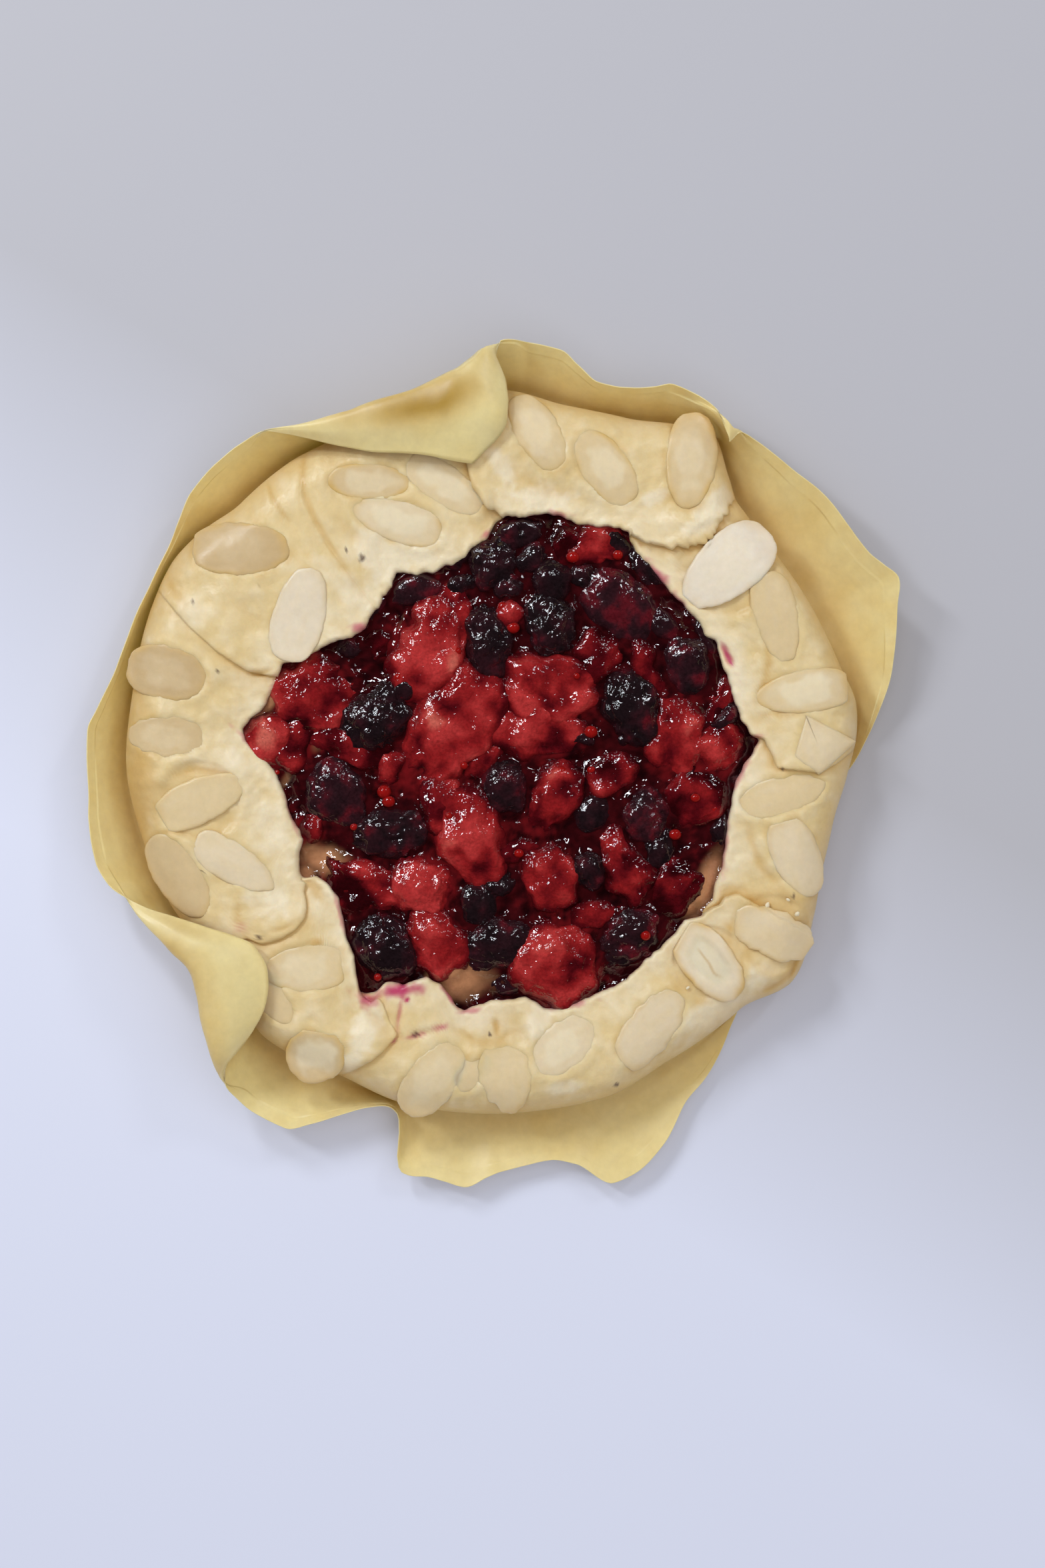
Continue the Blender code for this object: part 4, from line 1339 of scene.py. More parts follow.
@dataclass(frozen=True)
class Fruit:
    """A piece of cooked fruit sunk in the compote: its place, long axis, size, and tone."""

    x: float
    y: float
    degrees: float
    length: float
    width: float
    height: float  # how far it stands out, mm
    tone: float  # strawberries: how light; dark berries: how red
    taper: float = 0.0  # how much narrower it is at the far end of its long axis
    smooth: float = 0.0  # 1 for skin with no drupelets

    def far(self, x: Array, y: Array) -> Array:
        """How far out points lie in its outline: 0 at its middle, 1 on it."""
        return Oval(self.x, self.y, self.degrees, self.length / 2, self.width / 2).far(x, y)

    def beside(self, x: Array, y: Array) -> Array:
        """Distance in mm outside its outline, roughly: its radius there, less the outline's."""
        return np.hypot(x - self.x, y - self.y) * (1 - 1 / np.maximum(self.far(x, y), 0.05))

    def film(self) -> float:
        """How high over its level the compote climbs its side, in mm."""
        return 2.5 * min(self.height / 4, 1.0)

    def crown(self, x: Array, y: Array) -> Array:
        """Height of its plain dome over the compote's level, zero outside its outline."""
        return self.height * np.sqrt(np.maximum(1 - self.far(x, y) ** 2, 0))


def fruits(*rows: tuple[float, ...]) -> tuple[Fruit, ...]:
    """Fruit from rows of x, y, degrees, length, width, height, tone, taper and smooth."""
    return tuple(Fruit(*row) for row in rows)


# The main pieces come first.
STRAWBERRIES = fruits(
    (-15.4, 27.6, 76, 35.2, 20.3, 5.6, 0.85, 0.1), (-47, 15.6, 10, 24.2, 24.4, 4.2, 0.4, 0.05),
    (-10.6, 5.6, 237, 39.6, 23.2, 5.4, 0.68, 0.28), (-13, -13, 80, 19.8, 11, 4.2, 0.6, 0.1),
    (-5, -23.4, 108, 29.7, 18, 5.6, 0.85, -0.12), (-34, -36, -6, 23.1, 15.1, 4, 0.5, 0.05),
    (-18.2, -36.4, 80, 16.5, 18, 5.2, 1.05), (-14.6, -50.6, 118, 22, 15.7, 4.8, 0.65, 0.1),
    (16.4, -13.4, 62, 22.6, 13.3, 4.8, 0.34, -0.2), (15.8, -33.4, 108, 18.7, 15.1, 4.8, 0.44),
    (35, -31, 118, 23.1, 13.3, 4, 0.05, 0.1), (17.2, -56.8, 66, 22, 24.4, 5.8, 0.72, 0.12),
    (16, 17, -4, 29, 20.5, 4.8, 0.6, 0.1), (50, 4, 100, 23.1, 16.8, 4.2, 0.6),
    (55, -12, 40, 18.7, 15.7, 3.8, 0.05), (50.4, -35, 58, 17.6, 13.9, 3.6, -0.05, 0.1),
    (28.4, 55, -10, 15.4, 13.3, 3.6, 0.42), (28.6, 26, 62, 17.6, 11.6, 4, 0.34, 0.1),
    (12.6, 5.2, -8, 28, 14.5, 3.9, 0.5, 0.1), (60.6, 1, 30, 17.1, 14.5, 3.4, 0.28),
    (-59.6, 2.2, -50, 16.4, 13.2, 3.8, 0.45, 0.2), (-37, 0.6, -14, 24.2, 9.8, 3.8, 0.35),
    (-51, 4.6, 80, 20, 12, 3.6, 0.45), (-30, 29, 40, 17, 9, 2.2, -0.25),
    (-26, -4.6, 62, 13.2, 8.1, 3, 0.3), (20.6, 54.4, 85, 13.2, 9.3, 3.2, 0.1),
    (41.6, 22, 110, 18.7, 8.1, 2.8, -0.15), (62, 14, 80, 14.3, 8.1, 2.6, 0.15),
    (-2, -3, 60, 12.1, 8.1, 3, 0.3), (4.5, 35.5, 50, 12.1, 8.1, 3.2, 0.25),
    (32.4, -6.4, 20, 16.5, 10.4, 3.6, 0.22), (28, -44, 10, 16.5, 8.1, 2.8, 0.05),
    (6.4, -27.6, 14, 16.5, 5.8, 3, 0.35), (-47.4, -20.6, 60, 13.2, 8.1, 3, 0.3),
)  # fmt: skip

DARK_BERRIES = fruits(
    (0.2, 50.3, 90, 16, 14.5, 5.4, 0.05), (-1.2, 28.8, 96, 23, 13, 6, 0.05),
    (-30.8, 8.2, 40, 21, 17.5, 6.2, 0), (-41.2, -11.4, 130, 22.5, 18.5, 5.4, 0.35, 0, 0.8),
    (-27.2, -21.8, 10, 23, 15, 5.2, 0.15), (-28.4, -52.6, 115, 20.5, 17, 6.2, 0.05, 0, 0.3),
    (4, -9.6, 100, 16, 14, 5.2, 0.25, 0, 0.3), (42, -17.2, 70, 17.5, 14.5, 5, 0.45, 0, 0.4),
    (2.2, -51.8, 15, 22, 15.5, 5.8, 0.2, 0, 0.4), (37.6, -49.6, 30, 20, 15.5, 5, 0.3),
    (34.4, 39.4, -38, 27, 19, 5.2, 0.45, 0, 0.8), (16, 33.4, 108, 19, 14.5, 6, 0.1),
    (37.6, 11, 104, 23.5, 15.5, 6.4, 0), (52.6, 23.4, 118, 20, 15, 5, 0.3, 0, 0.7),
    (-19.6, 42.8, 12, 19, 10, 4.2, 0.25, 0, 1), (-38, 27.2, 30, 10, 6.5, 2.8, 0.3),
    (-3, -41, 90, 14, 12, 4.6, 0, 0, 0.4), (27.2, -17, 20, 13, 12, 4.2, 0, 0, 1),
    (26, -32.2, 80, 11.5, 10, 5, 0.05), (8, 58.4, 10, 14.5, 9, 4.2, 0.1),
    (16.6, 45.2, 60, 13.5, 12.5, 5.4, 0, 0, 0.6), (4.6, 44.5, 0, 9, 8.5, 4.4, 0.2),
    (63, 8.6, 60, 9.5, 6.5, 3.8, 0.15), (41, 48.4, -52, 17, 7, 3.4, 0.05),
    (11.5, 51.5, 20, 12, 8.5, 3.8, 0.1), (-8.5, 52, 35, 11, 7.5, 3.8, 0, 0, 0.4),
    (-8, 44.6, 20, 12, 8, 3.8, 0.05, 0, 0.3), (34, 56, -50, 11, 6.5, 3.4, 0, 0, 0.6),
    (57, 31.5, 118, 15, 6.5, 3.2, 0.15), (2.6, -36, 40, 11, 8, 4, 0.05),
    (45.6, -26.4, 60, 12, 8, 3.8, 0.05), (-32, 36.6, 55, 13, 6.5, 3.2, 0.2, 0, 0.8),
    (24.6, 46, 70, 9, 7, 3.6, 0.15), (46, 33.6, -50, 13, 9, 3.8, 0.3, 0, 0.6),
    (6, -62, 5, 13, 6, 2.4, 0.2), (61.6, -21, 75, 11, 6, 2.8, 0.15), (24.6, 3.4, 10, 9, 6, 3.2, 0.2),
    (-22.6, 16.4, 60, 10, 7, 3.6, 0.05),
)  # fmt: skip

# Cream that shows between the fruit: x, y, degrees, half length, half width, strength
CREAM_SPOTS = ovals(
    (-45, -29, -15, 7, 3.6, 0.9), (-49.5, -33, 40, 2.6, 2.4, 0.9), (-8, -61.5, 10, 8, 4.6, 0.9),
    (-15, -60.5, 30, 3, 2, 0.7), (57.5, -36, 68, 8.5, 2.8, 1), (53, -42.5, 30, 3.6, 1.8, 0.9),
    (-58.6, 13, 60, 3.4, 1.3, 0.7), (-45.5, 2.6, 60, 3, 1.6, 0.35), (-55, -8, 60, 2.6, 1, 0.4),
    (-62, 8.6, 40, 2.2, 1.2, 0.5),
)  # fmt: skip


@dataclass
class FruitHeap:
    """Pieces of one kind of fruit: lumpy domes that go down under the compote's level."""

    fruits: tuple[Fruit, ...]
    fine: tuple[int, int]  # rings and columns of a main piece
    coarse: tuple[int, int]  # rings and columns of the others
    name: str
    node: str
    finish: Finish
    nodes: int = 14  # how many main pieces there are, each with a node
    sunk: float = 1.5  # mm from a dome's widest part up to the compote's level
    below: float = 5.5  # mm that it goes down from there
    blunt: float = 0.85  # under 1, the ends are blunter than an ellipse's
    boxy: float = 0.85  # under 1, the top is flatter than an ellipse's
    uneven: float = 1.2  # mm that the outline wanders
    upper: float = 0.68  # share of the columns that lie on the upper half

    def solid(self, fruit: Fruit, number: int) -> Solid:
        """One piece: rings across its long axis, which swell and shrink as the halves of a sine.

        The upper half is higher than the lower is deep, the far end is narrower by the taper, and
        the relief moves each point straight out from the ellipsoid.

        Args:
            fruit: Its sizes.
            number: Its place in the list, which sets its own unevenness.

        Returns:
            The surface with its colours.
        """
        rows, columns = self.fine if number < self.nodes else self.coarse
        upper = round(columns * self.upper)
        over = np.linspace(0, math.pi, upper, endpoint=False)
        under = np.linspace(math.pi, 2 * math.pi, columns - upper, endpoint=False)
        around = np.concatenate([over, under])[None, :]
        along = math.pi * (1 - (np.arange(rows) + 0.6) / (rows + 0.2))[:, None]
        girth = np.sin(along) ** self.blunt * (1 - fruit.taper * np.cos(along))
        half, wide = fruit.length / 2, fruit.width / 2
        tall = np.where(np.sin(around) > 0, fruit.height + self.sunk, self.below)
        ride, lift = np.cos(around), np.sin(around)
        px = half * np.cos(along)
        py = wide * girth * np.sign(ride) * np.abs(ride) ** self.boxy
        pz = tall * girth * np.sign(lift) * np.abs(lift) ** self.boxy
        inside = wide * (1 - np.hypot(px / half, py / wide))
        own = np.array([31.0 * number, 17.0 * number, 0])
        spots = xyz(px, py, 0) + own
        px = px + self.uneven * waves(spots, 7.0, 97)
        py = py + self.uneven * waves(spots, 7.0, 98)
        lean = xyz(px / half**2, py / wide**2, pz / tall**2)
        lean /= np.linalg.norm(lean, axis=-1, keepdims=True)
        local = xyz(px, py, pz)
        place = local + own
        relief = self.relief(fruit, place)
        local = local + lean * relief[..., None]
        rings = laid(local, fruit.x, fruit.y, FILLING_TOP - self.sunk, fruit.degrees)
        inside = np.minimum(inside, rings[..., 2] - FILLING_TOP - 0.5 * fruit.film())
        return closed(rings, self.tone(fruit, place, inside, relief))

    def relief(self, fruit: Fruit, place: Array) -> Array:
        """How far the surface stands out from its ellipsoid: each kind has its own."""
        raise NotImplementedError

    def tone(
        self, fruit: Fruit, place: Array, inside: Array, relief: Array
    ) -> Array:
        """Its colour at each point: each kind has its own."""
        raise NotImplementedError

    def build(self) -> bpy.types.Object:
        """Builds all the pieces as one.

        Returns:
            The piece.
        """
        solids = [self.solid(fruit, number) for number, fruit in enumerate(self.fruits)]
        piece = make_piece(self.name, heaped(solids), self.finish)
        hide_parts(*(f"{self.node}_{number:02d}" for number in range(1, self.nodes + 1)))
        return piece


@dataclass
class StrawberryPieces(FruitHeap):
    """Cooked halves and quarters of strawberry: soft lumps with fine wet wrinkles."""

    fruits: tuple[Fruit, ...] = STRAWBERRIES
    fine: tuple[int, int] = (56, 76)
    coarse: tuple[int, int] = (30, 48)
    name: str = "strawberry_pieces"
    node: str = "strawberry"
    finish: Finish = SOFT_FRUIT
    blunt: float = 0.62
    boxy: float = 0.66
    uneven: float = 1.4

    JELLY = srgb(44, 5, 9)
    DEEP = srgb(88, 12, 19)
    RED = srgb(139, 28, 30)
    LIGHT = srgb(178, 52, 51)
    BLUSH = srgb(212, 116, 98)

    def relief(self, fruit: Fruit, place: Array) -> Array:
        """Broad swells, soft ridges that run lengthways, and fine wrinkles.

        A ridge or a wrinkle is a fixed height less the size of a noise about zero.

        Args:
            fruit: The piece; not used here.
            place: Its points for the noise to read.

        Returns:
            How far each point stands out, in mm.
        """
        broad = 1.2 * waves(place, 8.0, 101, 2)
        ridge = 0.5 - np.abs(waves(place * [0.55, 1.15, 1.0], 4.5, 111))
        wrinkle = 0.4 - np.abs(waves(place * [0.7, 1.2, 1.0], 2.1, 121, 2))
        rough = fade(-0.35, 0.35, waves(place, 7.0, 122))
        return broad + 0.8 * ridge + (0.20 + 0.50 * rough) * wrinkle

    def tone(
        self, fruit: Fruit, place: Array, inside: Array, relief: Array
    ) -> Array:
        """From near black at its outline through deep red to light red, with some pale flesh.

        The dark outline is partly the compote's wet film and partly painted shade, and raised
        relief is painted lighter.

        Args:
            fruit: The piece.
            place: Its points for the noise to read.
            inside: How far in from its outline each lies, in mm.
            relief: How far each stands out, in mm.

        Returns:
            A row of colour for each point.
        """
        # Painted light and shade: raised relief is lighter, its hollows darker.
        light = 0.12 + 0.80 * fruit.tone + 0.60 * waves(place, 8.5, 131, 3) + 0.26 * relief
        # Darker towards the outline and down at the compote: partly its wet film, partly painted shade.
        light = light * (0.25 + 0.75 * fade(-0.3, 2.3, inside + 0.6 * waves(place, 3.0, 132)))
        base = blend(self.JELLY, self.DEEP, light / 0.35)
        base = blend(base, self.RED, (light - 0.30) / 0.40)
        base = blend(base, self.LIGHT, (light - 0.70) / 0.40)
        flesh = fade(0.25, 0.7, waves(place, 9.0, 141)) * fade(0.9, 1.2, light)
        return blend(base, self.BLUSH, 0.6 * flesh)


@dataclass
class DarkBerries(FruitHeap):
    """Cooked dark berries, made of many small swollen drupelets, nearly black."""

    fruits: tuple[Fruit, ...] = DARK_BERRIES
    fine: tuple[int, int] = (56, 84)
    coarse: tuple[int, int] = (30, 46)
    name: str = "dark_berries"
    node: str = "dark_berry"
    finish: Finish = BERRY_SKIN
    blunt: float = 0.80

    JELLY = srgb(34, 5, 10)
    BLACK = srgb(28, 17, 20)
    PURPLE = srgb(52, 22, 28)
    RED = srgb(88, 20, 28)

    def relief(self, fruit: Fruit, place: Array) -> Array:
        """Drupelets as round bumps on a nearest-spot pattern, some burst, on broad swells.

        Args:
            fruit: The berry.
            place: Its points for the noise to read.

        Returns:
            How far each point stands out, in mm.
        """
        bend = np.stack([waves(place, 3.2, seed) for seed in (151, 152, 153)], axis=-1)
        near = grains(place + 0.9 * bend, 3.1, 161)
        bump = np.sqrt(np.maximum(1 - (near / 0.78) ** 2, 0))
        burst = fade(-0.2, 0.4, waves(place, 5.0, 171))
        crumple = 0.5 - np.abs(waves(place, 2.6, 181, 2))
        drupes = (1 - 0.8 * burst) * 1.15 * bump + burst * 1.2 * crumple
        drupes = drupes * (1 - 0.8 * fruit.smooth) - 0.5
        return drupes + 0.9 * waves(place, 8.0, 191) + 0.10 * waves(place, 1.2, 201)

    def tone(
        self, fruit: Fruit, place: Array, inside: Array, relief: Array
    ) -> Array:
        """Near black, redder in patches, between drupelets and towards its outline.

        Args:
            fruit: The berry.
            place: Its points for the noise to read.
            inside: How far in from its outline each lies, in mm.
            relief: How far each stands out, in mm.

        Returns:
            A row of colour for each point.
        """
        patch = waves(place, 5.0, 211, 3)
        base = blend(self.BLACK, self.PURPLE, 0.20 + 1.6 * fruit.tone + 0.8 * patch)
        base = blend(base, self.RED, fade(0.35, 1.1, patch + 1.5 * fruit.tone - 0.1))
        return blend(self.JELLY, base, 0.15 + 0.85 * fade(-0.2, 1.8, inside + 0.5 * relief))


@dataclass
class Compote:
    """The compote between the fruit: a wet surface that climbs the fruit and the dough."""

    rim: Rim
    side: int = 290  # cells along each side of the grid
    under_lip: float = 3.0  # mm that it runs in under the dough's lip
    bottom: float = 4.2
    climb_reach: float = 2.4  # mm over which it climbs a fruit
    edge_climb: float = 0.9  # mm that it climbs the dough
    edge_reach: float = 1.6  # mm over which it does
    stain_reach: float = 4.0  # mm over which a fruit colours it
    pulp_rise: float = 1.4  # mm that its pulp stands up

    BLACK = srgb(28, 5, 8)
    DEEP = srgb(62, 11, 15)
    RED = srgb(110, 19, 23)
    CREAM = srgb(188, 131, 92)

    def build(self) -> bpy.types.Object:
        """Builds the compote: a square grid drawn out into the opening's shape, a skirt, a base.

        A square's outline at each distance from its middle becomes a circle, and that circle is
        then stretched to the opening at each angle.

        Returns:
            The piece.
        """
        count = self.side + 1
        line = np.linspace(-1, 1, count)
        a, b = np.meshgrid(line, line, indexing="ij")
        wide = np.abs(a) > np.abs(b)
        far = np.where(wide, a, b)
        safe = np.where(far == 0, 1, far)
        turn = np.where(wide, math.pi / 4 * b / safe, math.pi / 2 - math.pi / 4 * a / safe)
        x, y = far * np.cos(turn), far * np.sin(turn)
        edge = self.rim.opening(np.degrees(np.arctan2(y, x))) + self.under_lip
        x, y = (x * edge).ravel(), (y * edge).ravel()
        height, tint = self.surface(x, y)
        top = xyz(x, y, height)
        here = np.arange(count * count).reshape(count, count)
        quads = np.stack([here[:-1, :-1], here[1:, :-1], here[1:, 1:], here[:-1, 1:]], axis=-1)
        around = np.concatenate([here[:-1, 0], here[-1, :-1], here[:0:-1, -1], here[0, :0:-1]])
        low = top[around] * [1, 1, 0] + [0, 0, self.bottom]
        points = np.concatenate([top, low, [[0, 0, self.bottom]]])
        under = count * count + np.arange(len(around))
        ahead, under_ahead = np.roll(around, -1), np.roll(under, -1)
        skirt = np.stack([under, under_ahead, ahead, around], axis=-1)
        fan = np.stack([np.full(len(under), len(points) - 1), under_ahead, under], axis=-1)
        hidden = np.tile(self.DEEP, (len(points) - len(top), 1))
        faces = np.concatenate([quads.reshape(-1, 4), skirt])
        solid = Solid(points, faces, fan, np.concatenate([tint, hidden]))
        piece = make_piece("compote", solid, JELLY)
        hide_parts("filling")
        return piece

    def beside_fruit(
        self, x: Array, y: Array, wobble: Array
    ) -> tuple[Array, Array, Array]:
        """How far the compote climbs its fruit, and how red and how dark they make it.

        Each falls with the distance from a fruit as e to the power of minus the distance, and the
        strongest of them holds.

        Args:
            x: Places in mm.
            y: Places in mm.
            wobble: Noise about zero, which makes the distances uneven.

        Returns:
            The climb in mm, and the two shades, about 0 to 1.
        """
        climb, shades = np.zeros_like(x), []
        for kind, most, slope in ((STRAWBERRIES, 0.4, 1.0), (DARK_BERRIES, 1.1, -1.0)):
            shade = np.zeros_like(x)
            for fruit in kind:
                gap = np.maximum(fruit.beside(x, y) + 0.3 + 0.5 * wobble, 0)
                climb = np.maximum(climb, fruit.film() * np.exp(-gap / self.climb_reach))
                strength = most + slope * fruit.tone
                shade = np.maximum(shade, np.exp(-gap / self.stain_reach) * strength)
            shades.append(shade)
        return climb, *shades

    def surface(self, x: Array, y: Array) -> tuple[Array, Array]:
        """Height and colour of the wet surface.

        It lies level, lumpy with pulp of two sizes in places, and climbs each fruit and the
        dough's edge. Pulp is red, the liquid between is near black, and cream shows through in a
        few spots.

        Args:
            x: Places in mm.
            y: Places in mm.

        Returns:
            Heights in mm, and a row of colour for each point.
        """
        place = xyz(x, y, 0)
        wobble, fine = 0.8 * waves(place, 4.0, 221, 2), waves(place, 2.6, 271, 3)
        climb, red, dark = self.beside_fruit(x, y, wobble)
        gap = self.rim.opening(np.degrees(np.arctan2(y, x))) - np.hypot(x, y)
        climb = np.maximum(climb, self.edge_climb * np.exp(-np.maximum(gap, 0) / self.edge_reach))
        cream, pulp = np.zeros_like(x), np.zeros_like(x)
        for spot in CREAM_SPOTS:
            far = spot.far(x, y) * (1 + 0.2 * wobble)
            cream = np.maximum(cream, spot.strength * fade(1.5, 0.25, far))
        for size, share, seed in ((4.2, 1.0, 231), (2.3, 0.45, 281)):
            near = grains(place + 0.2 * size * wobble[:, None], size, seed)
            much = share * fade(-0.45, 0.15, waves(place, 9.0, seed + 10, 2))
            pulp = pulp + much * np.sqrt(np.maximum(1 - (near / 0.8) ** 2, 0))
        pulp = pulp * fade(0.5, 0.0, cream)
        height = FILLING_TOP - 0.3 + climb + self.pulp_rise * pulp * (1 - climb / 2.8)
        height = height + 0.4 * waves(place, 6.0, 251, 2) + 0.12 * waves(place, 1.8, 261, 2)
        tint = blend(self.BLACK, self.DEEP, 0.30 + 0.6 * fine + 0.4 * pulp)
        tint = blend(tint, self.RED, 0.66 * red + 0.35 * pulp + 0.45 * fine - 0.28 - 0.70 * dark)
        return height + 0.6 * cream, blend(tint, self.CREAM, cream)


# Loose drupelets: x, y, radius
BEADS = (
    (-24.3, 19.4, 1.6), (-9, 26.3, 1.4), (34, 52.2, 1.4), (26.8, 5, 1.7), (-28.4, -11, 1.9),
    (-27.2, -13.6, 1.6), (41.3, -49.2, 1.4), (49.3, -22.4, 1.5), (-7, -4, 1.1), (22, 51.6, 1.6),
    (3.2, 38.4, 1.4), (6, 32.8, 1.6), (19, -5.6, 1.5), (27, -5.2, 1.1), (59.6, -15.8, 1.5),
    (7.6, -27.4, 1.2), (-30, -60.4, 1.1), (54.6, -12.6, 1.2), (23, 19.8, 0.9), (-36.4, -20.4, 1),
    (-11, -17.4, 1), (-57, -5.8, 0.7),
)  # fmt: skip


@dataclass
class LooseDrupelets:
    """Single drupelets that have come off the berries and lie in the compote."""

    compote: Compote
    rows: int = 10
    columns: int = 18

    # Painted light: the bright red is laid on each drupelet's top, and the deep red below is painted
    # shade.
    PAINTED_LIT_TOP = srgb(146, 20, 18)
    DEEP = srgb(74, 7, 10)

    def bead(self, number: int, x: float, y: float, radius: float) -> Solid:
        """One drupelet: a ball, drawn out a little, half out of what it lies in, lit on top by painted
        light.

        Args:
            number: Its place in the list, which turns it and draws it out.
            x: Its place in mm.
            y: Its place in mm.
            radius: Its radius in mm.

        Returns:
            The surface with its colours.
        """
        spot = np.array([x], float), np.array([y], float)
        crown = max(float(fruit.crown(*spot)[0]) for fruit in STRAWBERRIES + DARK_BERRIES)
        wet = float(self.compote.surface(*spot)[0][0])
        level = max(FILLING_TOP + crown, wet) + 0.15 * radius
        rise = -math.pi / 2 + math.pi * (np.arange(self.rows)[:, None] + 0.7) / (self.rows + 0.4)
        turn = 2 * math.pi * np.arange(self.columns) / self.columns + number
        long = radius * (1.08 + 0.10 * math.sin(3.0 * number))
        across = np.cos(rise) * np.sin(turn)
        up = level + radius * np.sin(rise)
        rings = xyz(x + long * np.cos(rise) * np.cos(turn), y + radius * across, up)
        solid = capped(rings, np.array([x, y, level - radius]), np.array([x, y, level + radius]))
        # Painted light and shade: lighter towards the top, darker below.
        light = fade(-0.4, 0.8, (solid.points[:, 2] - level) / radius)
        solid.tint = blend(self.DEEP, self.PAINTED_LIT_TOP, light)
        return solid

    def build(self) -> bpy.types.Object:
        """Builds all the drupelets as one piece.

        Returns:
            The piece.
        """
        solids = [self.bead(number, *row) for number, row in enumerate(BEADS)]
        return make_piece("loose_drupelets", heaped(solids), BEAD_SKIN)


# Crumbs of dough on the rim: x, y, degrees, length, width
CRUMBS = (
    (73.6, -41.2, 70, 1.8, 1.3), (81.4, -43.4, 20, 1.6, 1.2), (79, -39.6, -30, 1.1, 0.8),
    (52.4, -63, 40, 1.2, 0.8),
)


@dataclass
class Crumbs:
    """Crumbs of dough that lie on the rim."""

    rim: Rim
    rows: int = 8
    columns: int = 14

    def crumb(self, x: float, y: float, degrees: float, length: float, width: float) -> Solid:
        """One crumb: a small uneven egg shape that lies on the dough.

        Args:
            x: Its place in mm.
            y: Its place in mm.
            degrees: The direction of its long axis.
            length: Its length in mm.
            width: Its width in mm.

        Returns:
            The surface with its colours.
        """
        along = math.pi * (1 - (np.arange(self.rows)[:, None] + 0.6) / (self.rows + 0.2))
        around = 2 * math.pi * np.arange(self.columns) / self.columns
        girth = width / 2 * np.sin(along)
        local = xyz(length / 2 * np.cos(along), girth * np.cos(around), girth * np.sin(around))
        local = local * (1 + 0.3 * waves(local + [x, y, 0], 1.1, 301)[..., None])
        floor = float(self.rim.floor(np.array([x], float), np.array([y], float))[0])
        rings = laid(local, x, y, floor + 0.42 * width, degrees)
        return closed(rings, np.tile(Dough.WHITE, (self.rows, self.columns, 1)))

    def build(self) -> bpy.types.Object:
        """Builds all the crumbs as one piece.

        Returns:
            The piece.
        """
        return make_piece("dough_crumbs", heaped([self.crumb(*row) for row in CRUMBS]), PASTRY)


# -------- the baking paper

# Where the paper simply stands up: degrees, radius of its free edge, height of its free edge
PAPER_EDGE = (
    (1.9, 102.5, 4), (6, 106, 8), (10.3, 109.5, 11), (14, 111.8, 13), (19.6, 115.7, 15.5),
    (23, 118.3, 17), (25.1, 116.4, 17), (27.8, 114, 17), (32.2, 112.8, 17), (36.6, 112.3, 17),
    (43.3, 110, 17), (49, 108.9, 17.5), (60, 109.7, 18), (63.5, 109.2, 17), (65.6, 106.8, 16),
    (68.6, 104.2, 15.5), (71.1, 102.9, 15.5), (73.7, 102.6, 15.5), (77.2, 105.7, 15.5), (80, 108.7, 16),
    (84.5, 109.1, 17.5), (128.5, 105.2, 18), (131.4, 105.8, 17), (135, 106, 16), (139.1, 105.8, 15),
    (144, 103.7, 14), (148.6, 102.2, 13.5), (154.7, 101.6, 13.5), (160.9, 102, 13.5), (167.3, 102.6, 14),
    (174, 106, 14.5), (177, 107.9, 15), (185.5, 108.2, 15), (190.4, 109.1, 16), (195.6, 109.5, 17),
    (199.4, 107.7, 18), (234, 115.4, 14), (236.6, 116.2, 13), (241.5, 115.6, 12.5), (244.2, 111.6, 12),
    (247.8, 105.7, 11.5), (250.9, 101.7, 11), (254, 99.9, 10.5), (255.6, 101.3, 9.5), (256.4, 105.2, 8.5),
    (256.9, 112, 7.5), (257.9, 116.7, 7), (259.4, 117.4, 6.5), (261.5, 117, 6.5), (263.6, 117.5, 7),
    (266.5, 118.6, 7), (269.5, 115.7, 7), (271.3, 114.3, 6.5), (278.2, 112.3, 6), (281.7, 114.7, 6),
    (285.9, 122, 6), (288.4, 121.5, 6), (293.8, 116.7, 5.5), (299.4, 108.9, 5), (303.2, 106.6, 4),
    (307.8, 102.9, 2.5), (311, 100, 1), (314.4, 97.4, 0.4), (318, 93, 0.2), (323, 87, 0.1),
    (335, 84, 0.1), (345, 83, 0.1), (351, 87, 0.1), (355, 95, 0.4), (357.5, 98.6, 1.4),
)  # fmt: skip

